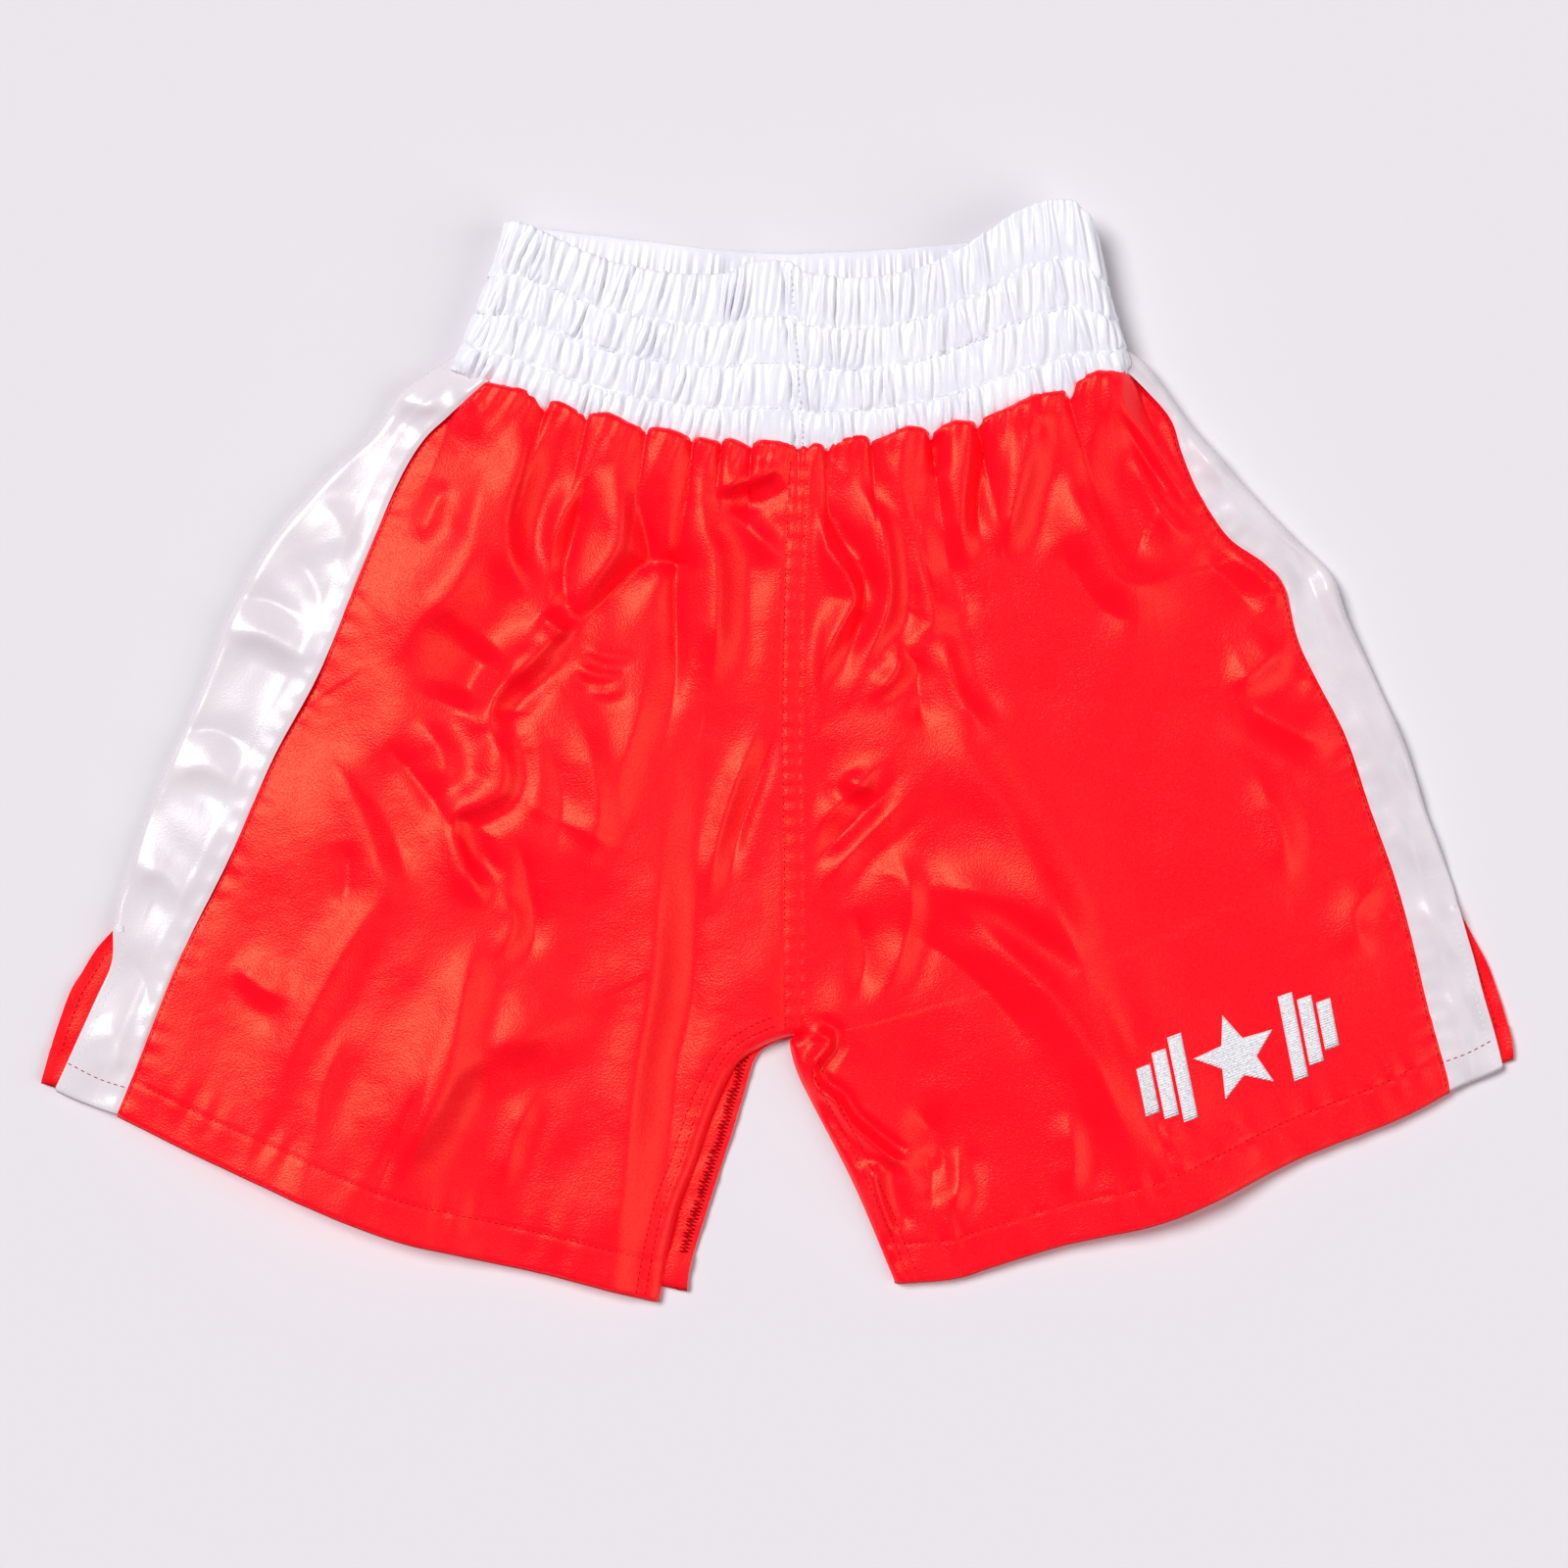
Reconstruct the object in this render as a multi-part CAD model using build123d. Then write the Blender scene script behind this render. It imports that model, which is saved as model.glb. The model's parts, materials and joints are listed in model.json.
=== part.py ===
"""Satin boxing shorts laid flat on their back: front up, waistband towards +Y, wearer's left leg towards +X.

Lengths are millimetres. The origin is under the middle of the whole garment, on the surface it lies on. The cloth
is drawn thicker than it is, and the garment is kept a little open, so that the waist and both legs stay hollow.
"""

import os
from math import asin, cos, hypot, radians, sin, sqrt

from build123d import *

os.makedirs("parts", exist_ok=True)

# Cloth, elastic and thread.
cloth = 1.2  # panels and stripes, front and back
band_cloth = 0.8  # each layer of the waistband's satin
elastic = 1.6  # thickness of an elastic row
thread_width = 0.9
thread_height = 0.5
overlock_width = 3.0

# Waistband, lying flattened. Its edges are arcs that sag towards the legs.
band_top_width = 319.0
band_bottom_width = 372.0
band_middle_x = 10.0
band_bottom_y = 165.0  # lowest point of the bottom edge
band_bottom_sag = 43.0
band_top_y = 266.0  # lowest point of the top edge
band_top_sag = 30.0
band_thickness = 26.0  # from the surface to the top of the front wall
band_side_radius = 9.0
elastic_rows = 4
row_gap = 2.0  # stitched channel wall between two elastic rows
join_top_x = 2.0  # seam that joins the band's two ends at the front
join_bottom_x = 9.0

# Body, the same for both legs.
centre_x = 12.0  # centre seam at the band
crotch_x = 6.0
crotch_y = -152.0
hem_lift = 9.0  # height of the front surface at the lowest hem
waist_step = 2.0  # how far the front surface stays below the band's top
waist_lift = band_thickness - waist_step  # height of the front surface at the band
hem_bulge = 15.0
hem_depth = 21.0  # turned-up hem, from the edge to its stitching
slit_overhang = 11.0  # how far the back panel's edge shows past the front's at the slit
stripe_return = 10.0  # stripe cloth turned under, as far as the side seam
side_start = 25.0  # where a side edge starts, up the band from its bottom corner

# Stitching, measured from the seam or edge it runs along.
centre_stitch_offset = 4.2
seam_stitch_offset = 2.5
inseam_stitch_offsets = (8.0, 13.0)
slit_stitch_offset = 5.0
tack_length = 9.0
tack_width = 2.5

# Embroidered motif: a star between two sets of slanting bars.
motif_x = 249.0
motif_y = -163.0
motif_turn = 20.0
star_points = 5
star_radius = 24.0
star_inner_radius = 10.5
bar_width = 8.0
bar_gap = 4.0
bar_heights = (46.0, 36.0, 26.0)
bar_slant = 7.0
motif_height = 0.8
backing_thickness = 0.4
backing_margin = 6.0

red = Color(0.9, 0.05, 0.06)
white = Color(0.93, 0.93, 0.96)


class Leg:
    """One leg as it lies: side is -1 or +1, and the x of each point is measured outwards from the origin."""

    def __init__(self, side, slit, hem_out, hem_in):
        self.side = side
        self.slit = (side * slit[0], slit[1])
        self.hem_out = (side * hem_out[0], hem_out[1])
        self.hem_in = (side * hem_in[0], hem_in[1])

    def bow(self, side_bulge, seam_bulge, inseam_bow):
        """How far the middle of each long edge stands out from its chord."""
        self.side_bulge = side_bulge
        self.seam_bulge = seam_bulge
        self.inseam_bow = inseam_bow

    def stripe(self, top, hem):
        """How much of the stripe's width shows on the front."""
        self.stripe_top = top
        self.stripe_hem = hem


right_leg = Leg(side=-1, slit=(359.0, -94.0), hem_out=(390.0, -181.0), hem_in=(64.0, -296.0))
right_leg.bow(side_bulge=33.0, seam_bulge=13.0, inseam_bow=14.0)
right_leg.stripe(top=22.0, hem=36.0)

left_leg = Leg(side=1, slit=(370.0, -83.0), hem_out=(390.0, -169.0), hem_in=(64.0, -286.0))
left_leg.bow(side_bulge=30.0, seam_bulge=31.0, inseam_bow=3.0)
left_leg.stripe(top=12.0, hem=31.0)

legs = {"right": right_leg, "left": left_leg}

# Worked out from the sizes above.
far = 1500.0  # past the garment on every side
crotch = (crotch_x, crotch_y)
lowest_y = min(leg.hem_in[1] for leg in legs.values())
front_angle = asin((waist_lift - hem_lift) / (band_bottom_y - lowest_y))
front_plane = Plane(origin=(0, lowest_y, hem_lift), z_dir=(0, -sin(front_angle), cos(front_angle)))
band_wall = 2 * band_cloth + elastic
inside = cloth + thread_height


# ---- Plain geometry -----------------------------------------------------------------------------------------


def towards(start, end, distance):
    """The point that lies a distance from start on the way to end."""
    share = distance / hypot(end[0] - start[0], end[1] - start[1])
    return (start[0] + share * (end[0] - start[0]), start[1] + share * (end[1] - start[1]))


def across(start, end, distance):
    """A shift square to the way from start to end, to its left."""
    length = hypot(end[0] - start[0], end[1] - start[1])
    return Vector(-(end[1] - start[1]) * distance / length, (end[0] - start[0]) * distance / length, 0)


def moved(point, shift):
    """A point moved by a shift."""
    return (point[0] + shift.X, point[1] + shift.Y)


def bowed(start, end, bulge):
    """An arc from start to end whose middle stands to the left of the way by the bulge."""
    middle = moved(((start[0] + end[0]) / 2, (start[1] + end[1]) / 2), across(start, end, bulge))
    return ThreePointArc(start, middle, end)


def upright(face, low, high):
    """A plan face extruded straight up between two heights."""
    return Pos(0, 0, low) * extrude(face, high - low, dir=(0, 0, 1))


def front_slab(low, high):
    """The space between two distances above the front surface, which slopes up to the band."""
    return front_plane * Pos(0, 0, (low + high) / 2) * Box(2 * far, 2 * far, high - low)


def on_front(face, low, high):
    """A plan face as a sheet on the sloping front."""
    return upright(face, 0, 3 * band_thickness) & front_slab(low, high)


def up_to_front(face, low):
    """A plan face as a wall from a height up to the sloping front."""
    return upright(face, low, 3 * band_thickness) & front_slab(-far, 0)


def rows(face, edges, width=thread_width):
    """Strips of a width along plan edges, kept to a face."""
    return (Sketch() + [trace(edge, width) for edge in edges]) & face


def save(node, shape, colour):
    """Writes one node of the garment."""
    shape.label = node
    shape.color = colour
    export_step(shape, f"parts/{node}.step")


# ---- Waistband ----------------------------------------------------------------------------------------------


def band_level(share):
    """Lowest y, sag, width and radius of the arc at a share of the band's height."""
    low = band_bottom_y + share * (band_top_y - band_bottom_y)
    sag = band_bottom_sag + share * (band_top_sag - band_bottom_sag)
    width = band_bottom_width + share * (band_top_width - band_bottom_width)
    return low, sag, width, (width * width / 4 + sag * sag) / (2 * sag)


def band_disc(share):
    """The disc whose lowest arc is the band's edge at a share of its height."""
    low, sag, width, radius = band_level(share)
    return Pos(band_middle_x, low + radius) * Circle(radius)


def band_corner(side, share):
    """The corner of the band at one side, at a share of its height."""
    low, sag, width, radius = band_level(share)
    return (band_middle_x + side * width / 2, low + sag)


def band_side_x(side, y):
    """Where the band's straight side edge is at a y, also past its two corners."""
    low_x, low_y = band_corner(side, 0)
    high_x, high_y = band_corner(side, 1)
    return low_x + (high_x - low_x) * (y - low_y) / (high_y - low_y)


def band_block(inset):
    """The flattened band as a rounded block, drawn in on every side but its ends, which run past the arcs."""
    foot = band_bottom_y - band_thickness
    head = band_top_y + band_top_sag + band_thickness
    points = [
        (band_side_x(-1, foot) + inset, foot),
        (band_side_x(1, foot) - inset, foot),
        (band_side_x(1, head) - inset, head),
        (band_side_x(-1, head) + inset, head),
    ]
    block = upright(make_face(Polyline(*points, close=True)), inset, band_thickness - inset)
    slanting = block.edges().filter_by(lambda edge: abs(edge.tangent_at(0).Y) > 0.5)
    return fillet(slanting, band_side_radius - inset)


def band_ring(outer, inner, low_share, high_share):
    """A loop of the band between two insets and two shares of its height."""
    loop = band_block(outer) - band_block(inner)
    return loop & upright(band_disc(low_share) - band_disc(high_share), -1, band_thickness + 1)


band_height = band_top_y - band_bottom_y
gap_share = row_gap / band_height
fold_share = band_cloth / band_height
row_share = (1 - fold_share - elastic_rows * gap_share) / elastic_rows

outer_satin = band_ring(0, band_cloth, 0, 1)
lining_satin = band_ring(band_cloth + elastic, band_wall, 0, 1)
top_fold = band_ring(band_cloth, band_cloth + elastic, 1 - fold_share, 1)
save("waistband_satin", outer_satin + lining_satin + top_fold, white)

stitched = []
for row in range(elastic_rows):
    gap_start = row * (gap_share + row_share)
    row_start = gap_start + gap_share
    stitched.append(band_ring(band_cloth, band_cloth + elastic, gap_start, row_start))
    loop = band_ring(band_cloth, band_cloth + elastic, row_start, row_start + row_share)
    save(f"elastic_row_{row + 1}", loop, white)
save("waist_seam_stitching", stitched[0], white)
save("waistband_row_stitching", Compound(children=stitched[1:]), white)

join_line = Line((join_bottom_x, band_bottom_y - row_gap), (join_top_x, band_top_y + row_gap))
join_plan = rows(band_disc(0) - band_disc(1), [join_line])
save("waistband_join_stitching", upright(join_plan, band_thickness, band_thickness + thread_height), white)


# ---- Edges of a leg in plan ---------------------------------------------------------------------------------


def inwards(leg, start, end, distance):
    """The shift into the leg, square to an edge that runs from the waist down or from the slit to the inseam."""
    return across(start, end, -leg.side * distance)


def side_edge(leg, inset=0.0):
    """The side from a point up the band's side, so that the band can trim it, down to the top of the slit."""
    start = towards(band_corner(leg.side, 0), band_corner(leg.side, 1), side_start)
    shift = inwards(leg, start, leg.slit, inset)
    return bowed(moved(start, shift), moved(leg.slit, shift), leg.side * leg.side_bulge)


def back_corner(leg):
    """The back panel's hem corner at the slit, which shows past the front's."""
    return towards(leg.hem_out, leg.hem_in, -slit_overhang)


def slit_edge(leg, corner, inset=0.0):
    """The open edge from the top of the slit to a hem corner."""
    shift = inwards(leg, leg.slit, corner, inset)
    return Line(moved(leg.slit, shift), moved(corner, shift))


def hem_edge(leg, corner, inset=0.0):
    """The hem from its corner at the slit to the inseam."""
    shift = inwards(leg, corner, leg.hem_in, inset)
    return bowed(moved(corner, shift), moved(leg.hem_in, shift), leg.side * hem_bulge)


def inseam_edge(leg, inset=0.0):
    """The inseam from the crotch to the hem."""
    shift = across(crotch, leg.hem_in, leg.side * inset)
    return bowed(moved(crotch, shift), moved(leg.hem_in, shift), leg.side * leg.inseam_bow)


def seam_edge(leg, inset=0.0):
    """The seam between stripe and front panel, run on past the band's edge and past the hem."""
    low, sag, width, radius = band_level(0)
    x = band_corner(leg.side, 0)[0] - leg.side * leg.stripe_top
    top = (x, low + radius - sqrt(radius * radius - (x - band_middle_x) ** 2))
    bottom = towards(leg.hem_out, leg.hem_in, leg.stripe_hem)
    start = towards(top, bottom, -side_start)
    end = towards(bottom, top, -2 * hem_bulge)
    shift = inwards(leg, start, end, inset)
    return bowed(moved(start, shift), moved(end, shift), leg.side * leg.seam_bulge)


def centre_edge(offset=0.0):
    """The centre seam from the crotch to past the band's edge."""
    lean = (centre_x - crotch_x) / (band_bottom_y - crotch_y)
    top_y = band_bottom_y + band_bottom_sag + side_start
    return Line((crotch_x + offset, crotch_y), (crotch_x + offset + lean * (top_y - crotch_y), top_y))


def leg_plan(leg, corner):
    """Half the garment in plan, from the centre seam to the side, with its slit ending at a hem corner."""
    side = side_edge(leg)
    centre = centre_edge()
    outline = [side, slit_edge(leg, corner), hem_edge(leg, corner), inseam_edge(leg), centre]
    return make_face(Wire([*outline, Line(centre @ 1, side @ 0)])) - band_disc(0)


def outside_seam(leg):
    """Everything outside the seam between stripe and panel."""
    seam = seam_edge(leg)
    corners = [seam @ 1, (leg.side * far, -far), (leg.side * far, far), seam @ 0]
    return make_face(Wire([seam, *Polyline(*corners).edges()]))


# ---- Panels, stripes and their stitching, leg by leg --------------------------------------------------------

fronts = {}
backs = {}
tacks = []
for name, leg in legs.items():
    overhung = back_corner(leg)
    whole = leg_plan(leg, leg.hem_out)
    turned_under = rows(whole, [side_edge(leg, stripe_return / 2)], stripe_return)
    stripe = whole & outside_seam(leg)
    front = whole - outside_seam(leg)
    back = leg_plan(leg, overhung) - turned_under
    fronts[name] = front
    backs[name] = back

    side_wall = up_to_front(rows(whole, [side_edge(leg, cloth / 2)], cloth), 0)
    save(f"side_stripe_{name}", on_front(stripe, -cloth, 0) + side_wall + upright(turned_under, 0, cloth), white)
    folded = rows(front, [inseam_edge(leg, cloth / 2)], cloth)
    save(f"front_panel_{name}", on_front(front, -cloth, 0) + up_to_front(folded, cloth), red)
    save(f"back_panel_{name}", upright(back, 0, cloth), red)

    front_hem = rows(whole, [hem_edge(leg, leg.hem_out, hem_depth)])
    back_hem = rows(back, [hem_edge(leg, overhung, hem_depth)]) - folded
    hems = [on_front(front_hem, 0, thread_height), upright(back_hem, cloth, inside)]
    save(f"hem_stitching_{name}", Compound(children=hems), red)

    seam_row = rows(front, [seam_edge(leg, seam_stitch_offset)]) - front_hem
    save(f"stripe_seam_stitching_{name}", on_front(seam_row, 0, thread_height), red)

    inseam_rows = rows(front, [inseam_edge(leg, offset) for offset in inseam_stitch_offsets])
    save(f"inseam_stitching_{name}", on_front(inseam_rows - front_hem, 0, thread_height), red)
    overlock = rows(back, [inseam_edge(leg, inseam_stitch_offsets[0])], overlock_width)
    save(f"inseam_overlock_{name}", upright(overlock - back_hem, cloth, inside), red)

    tack_line = Line(leg.slit, moved(leg.slit, inwards(leg, leg.slit, leg.hem_out, tack_length)))
    tack = rows(stripe, [tack_line], tack_width)
    tacks.append(on_front(tack, 0, thread_height))
    front_slit = rows(stripe, [slit_edge(leg, leg.hem_out, slit_stitch_offset)]) - front_hem - tack
    back_slit = rows(back, [slit_edge(leg, overhung, slit_stitch_offset)]) - back_hem
    slits = [on_front(front_slit, 0, thread_height), upright(back_slit, cloth, inside)]
    save(f"slit_stitching_{name}", Compound(children=slits), white)
save("slit_bar_tacks", Compound(children=tacks), white)

# ---- Centre seams -------------------------------------------------------------------------------------------

whole_front = fronts["right"] + fronts["left"]
whole_back = backs["right"] + backs["left"]
centre_rows = [centre_edge(-centre_stitch_offset), centre_edge(centre_stitch_offset)]
save("centre_front_stitching", on_front(rows(whole_front, centre_rows), 0, thread_height), red)
save("centre_back_stitching", upright(rows(whole_back, centre_rows), cloth, inside), red)

# ---- Embroidered motif and its backing ----------------------------------------------------------------------


def star():
    """A five-pointed star, one point up."""
    points = []
    for step in range(2 * star_points):
        reach = star_inner_radius if step % 2 else star_radius
        angle = radians(90 + 180 * step / star_points)
        points.append((reach * cos(angle), reach * sin(angle)))
    return make_face(Polyline(*points, close=True))


def bar(side, place, height):
    """One slanting bar beside the star."""
    inner = side * (star_radius + bar_gap + place * (bar_width + bar_gap))
    outer = inner + side * bar_width
    lean = bar_slant / 2
    points = [
        (inner - lean, -height / 2),
        (outer - lean, -height / 2),
        (outer + lean, height / 2),
        (inner + lean, height / 2),
    ]
    return make_face(Polyline(*points, close=True))


bars = [bar(side, place, height) for side in (-1, 1) for place, height in enumerate(bar_heights)]
motif_at = Pos(motif_x, motif_y) * Rot(0, 0, motif_turn)
motif_plan = motif_at * (Sketch() + [star(), *bars])
save("embroidered_motif", on_front(motif_plan, 0, motif_height), white)

motif_length = 2 * (star_radius + len(bar_heights) * (bar_width + bar_gap))
backing_plan = motif_at * Rectangle(motif_length + 2 * backing_margin, bar_heights[0] + 2 * backing_margin)
save("embroidery_backing", on_front(backing_plan, -cloth - backing_thickness, -cloth), white)
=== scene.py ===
"""Satin boxing shorts laid flat on a table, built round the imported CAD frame."""

import json
import math

import bmesh
import bpy
import numpy as np
from mathutils import Matrix, Vector

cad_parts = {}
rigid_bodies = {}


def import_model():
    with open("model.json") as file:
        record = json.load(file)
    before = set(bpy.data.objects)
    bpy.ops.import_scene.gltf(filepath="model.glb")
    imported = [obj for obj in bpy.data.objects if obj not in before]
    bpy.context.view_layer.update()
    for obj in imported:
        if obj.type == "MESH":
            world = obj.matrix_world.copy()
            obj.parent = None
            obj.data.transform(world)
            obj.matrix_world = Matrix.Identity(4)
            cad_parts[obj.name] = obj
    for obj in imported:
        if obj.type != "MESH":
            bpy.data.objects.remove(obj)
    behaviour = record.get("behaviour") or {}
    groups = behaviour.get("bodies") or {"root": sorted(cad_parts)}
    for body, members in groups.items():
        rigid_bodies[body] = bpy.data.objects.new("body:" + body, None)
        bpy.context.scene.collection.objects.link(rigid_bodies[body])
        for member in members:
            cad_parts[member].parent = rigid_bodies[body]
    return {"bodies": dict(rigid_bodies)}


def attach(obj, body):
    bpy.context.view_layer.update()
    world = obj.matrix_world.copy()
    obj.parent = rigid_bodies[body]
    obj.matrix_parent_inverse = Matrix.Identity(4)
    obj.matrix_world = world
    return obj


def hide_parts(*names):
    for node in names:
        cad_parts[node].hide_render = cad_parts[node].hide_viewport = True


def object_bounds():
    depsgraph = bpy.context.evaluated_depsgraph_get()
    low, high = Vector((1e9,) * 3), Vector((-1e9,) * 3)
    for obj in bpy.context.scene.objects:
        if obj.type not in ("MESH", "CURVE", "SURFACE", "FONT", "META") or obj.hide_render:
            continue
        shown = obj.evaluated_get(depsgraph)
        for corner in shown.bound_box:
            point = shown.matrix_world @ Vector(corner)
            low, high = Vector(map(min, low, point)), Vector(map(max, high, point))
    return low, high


bl_info = {
    "name": "Boxing shorts",
    "version": (1, 0, 0),
    "blender": (4, 5, 0),
    "location": "3D View > Sidebar > Shorts",
    "description": "Builds satin boxing shorts round their CAD frame",
    "category": "Add Mesh",
}

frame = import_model()
CAD_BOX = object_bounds()
BODY = next(iter(frame["bodies"]))
MM = 0.001


# Outlines of the pieces, in millimetres, each from its top end to its lower end.
# Dome is the top edge of the puff at the panel's outer end.

CENTRE_SEAM = [(16, 166), (13, 90), (11.7, 10), (12.7, -70), (13, -151)]
CROTCH_Y = -151
CROTCH_X = 13

RIGHT_LEG = {
    "name": "right",
    "side": -1,
    "seam": [(-155, 201), (-163, 194.5), (-177, 183), (-192, 169), (-206, 145), (-225, 99), (-247, 45),
             (-272, -1), (-296, -55), (-323, -109), (-346, -166), (-358, -195)],
    "outer": [(-174, 217), (-188, 208), (-204, 196), (-220, 174), (-242, 154), (-274, 117), (-296, 77),
              (-313, 34), (-326, 4), (-340, -28), (-350, -58), (-358, -80), (-360, -94)],
    "slit": [(-360, -94), (-361, -112), (-369, -131), (-385, -166), (-392, -181)],
    "hem": [(-358, -195), (-307, -219), (-219, -257), (-172, -270), (-118, -282), (-73, -294), (-64, -296)],
    "stripe_hem": [(-392, -181), (-374, -190), (-358, -195)],
    "inseam": [(13, -151), (3, -153.5), (-8, -158), (-20, -166), (-29, -180), (-37, -199), (-45, -223),
               (-53, -243), (-59, -268), (-64, -296)],
    "back_slit": [(-360, -94), (-370, -105), (-378, -118), (-384, -128), (-391, -147), (-395, -160),
                  (-400, -178)],
    "back_hem": [(-400, -178), (-374, -187), (-307, -213), (-219, -251), (-118, -277), (-49, -291)],
    "back_inseam": [(13, -151), (-2, -156), (-12, -164), (-18, -183), (-24, -203), (-36, -240), (-47, -276),
                    (-49, -291)],
    "dome": [(-155, 201), (-149, 200.5), (-141, 200), (-135, 198), (-130, 193), (-127, 189), (-125, 188)],
}

LEFT_LEG = {
    "name": "left",
    "side": 1,
    "seam": [(186, 208), (194, 202), (212, 183), (219, 163), (228, 142), (244, 118), (263, 104), (274, 91),
             (282, 62), (292, 41), (308, 10), (321, -28), (334, -64), (344, -99), (352, -133), (363, -172),
             (365, -182)],
    "outer": [(188, 221), (200, 212), (210, 199), (223, 181), (244, 157), (263, 136), (281, 118), (300, 99),
              (310, 73), (326, 39), (342, 2), (352, -30), (366, -67), (370, -83)],
    "slit": [(370, -83), (380, -117), (390, -153), (394, -169)],
    "hem": [(64, -286), (97, -283), (119, -276), (158, -264), (203, -254), (236, -241), (285, -217),
            (336, -197), (365, -182)],
    "stripe_hem": [(365, -182), (380, -176), (394, -169)],
    "inseam": [(13, -151), (7, -154), (8, -163), (12, -175), (20, -191), (42, -234), (64, -286)],
    "back_slit": [(370, -83), (378, -98), (388, -118), (398, -150), (400, -165)],
    "back_hem": [(67, -283), (119, -272), (203, -250), (285, -213), (365, -179), (400, -165)],
    "back_inseam": [(13, -151), (11, -164), (21, -190), (36, -218), (54, -253), (67, -283)],
    "dome": [(155, 193), (159, 199), (165, 204), (172, 207.5), (180, 208.5), (186, 208)],
}

LEGS = (RIGHT_LEG, LEFT_LEG)

# Waistband, flattened: its lower seam, its two top edges and where its channels meet.
BAND_CENTRE_X = 9.0
BAND_SEAM_Y = 165.0
BAND_SAG = 43.0
BAND_HALF = 185.0
BAND_LEFT = (-177.0, -147.0)
BAND_RIGHT = (192.0, 173.0)
BAND_RADIUS = 11.4
BAND_MIDDLE_Z = 14.0
BAND_FRONT_Z = 21.5  # the body's top edge curls down to this height on the band
TOP_LAP = 1.2  # the body's top edge laps the band by this between its puffs
BAND_LOOP = 730.0  # the ruched band's length round, at the middle of its height
TABLE_Z = 0.35  # the lowest any cloth of the band goes
FRONT_TOP = [(-152, 282), (-147, 286), (-135, 284), (-118, 276), (-92, 265), (-65, 259), (-45, 257),
             (-26, 258), (-15, 263), (6, 264), (16, 258), (46, 255), (78, 261), (105, 275), (126, 289),
             (142, 296), (160, 296), (173, 281), (178, 274)]
BACK_TOP = [(-152, 282), (-134, 285), (-73, 278), (4, 271), (104, 277), (150, 287), (178, 274)]
CHANNEL_SHARES = (0.0, 0.215, 0.46, 0.71, 1.0)
JOIN_TOP_X = 2.0
JOIN_BOTTOM_X = 9.0

MOTIF_CENTRE = (249.0, -163.0)
MOTIF_TURN = math.radians(20)
MOTIF_BARS = ((-52, 26), (-42, 36), (-32, 46), (32, 46), (42, 36), (52, 26))  # x and height of each bar

# Puffs of the gathered top edge over the band, each from x to x.
PUFFS = [(-166, -125), (-123, -103), (-101, -71), (-69, -46), (-44, -31), (-29, -15), (-13, 10), (13, 25),
         (27, 49), (51, 81), (83, 106), (109, 155), (157, 190)]

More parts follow.
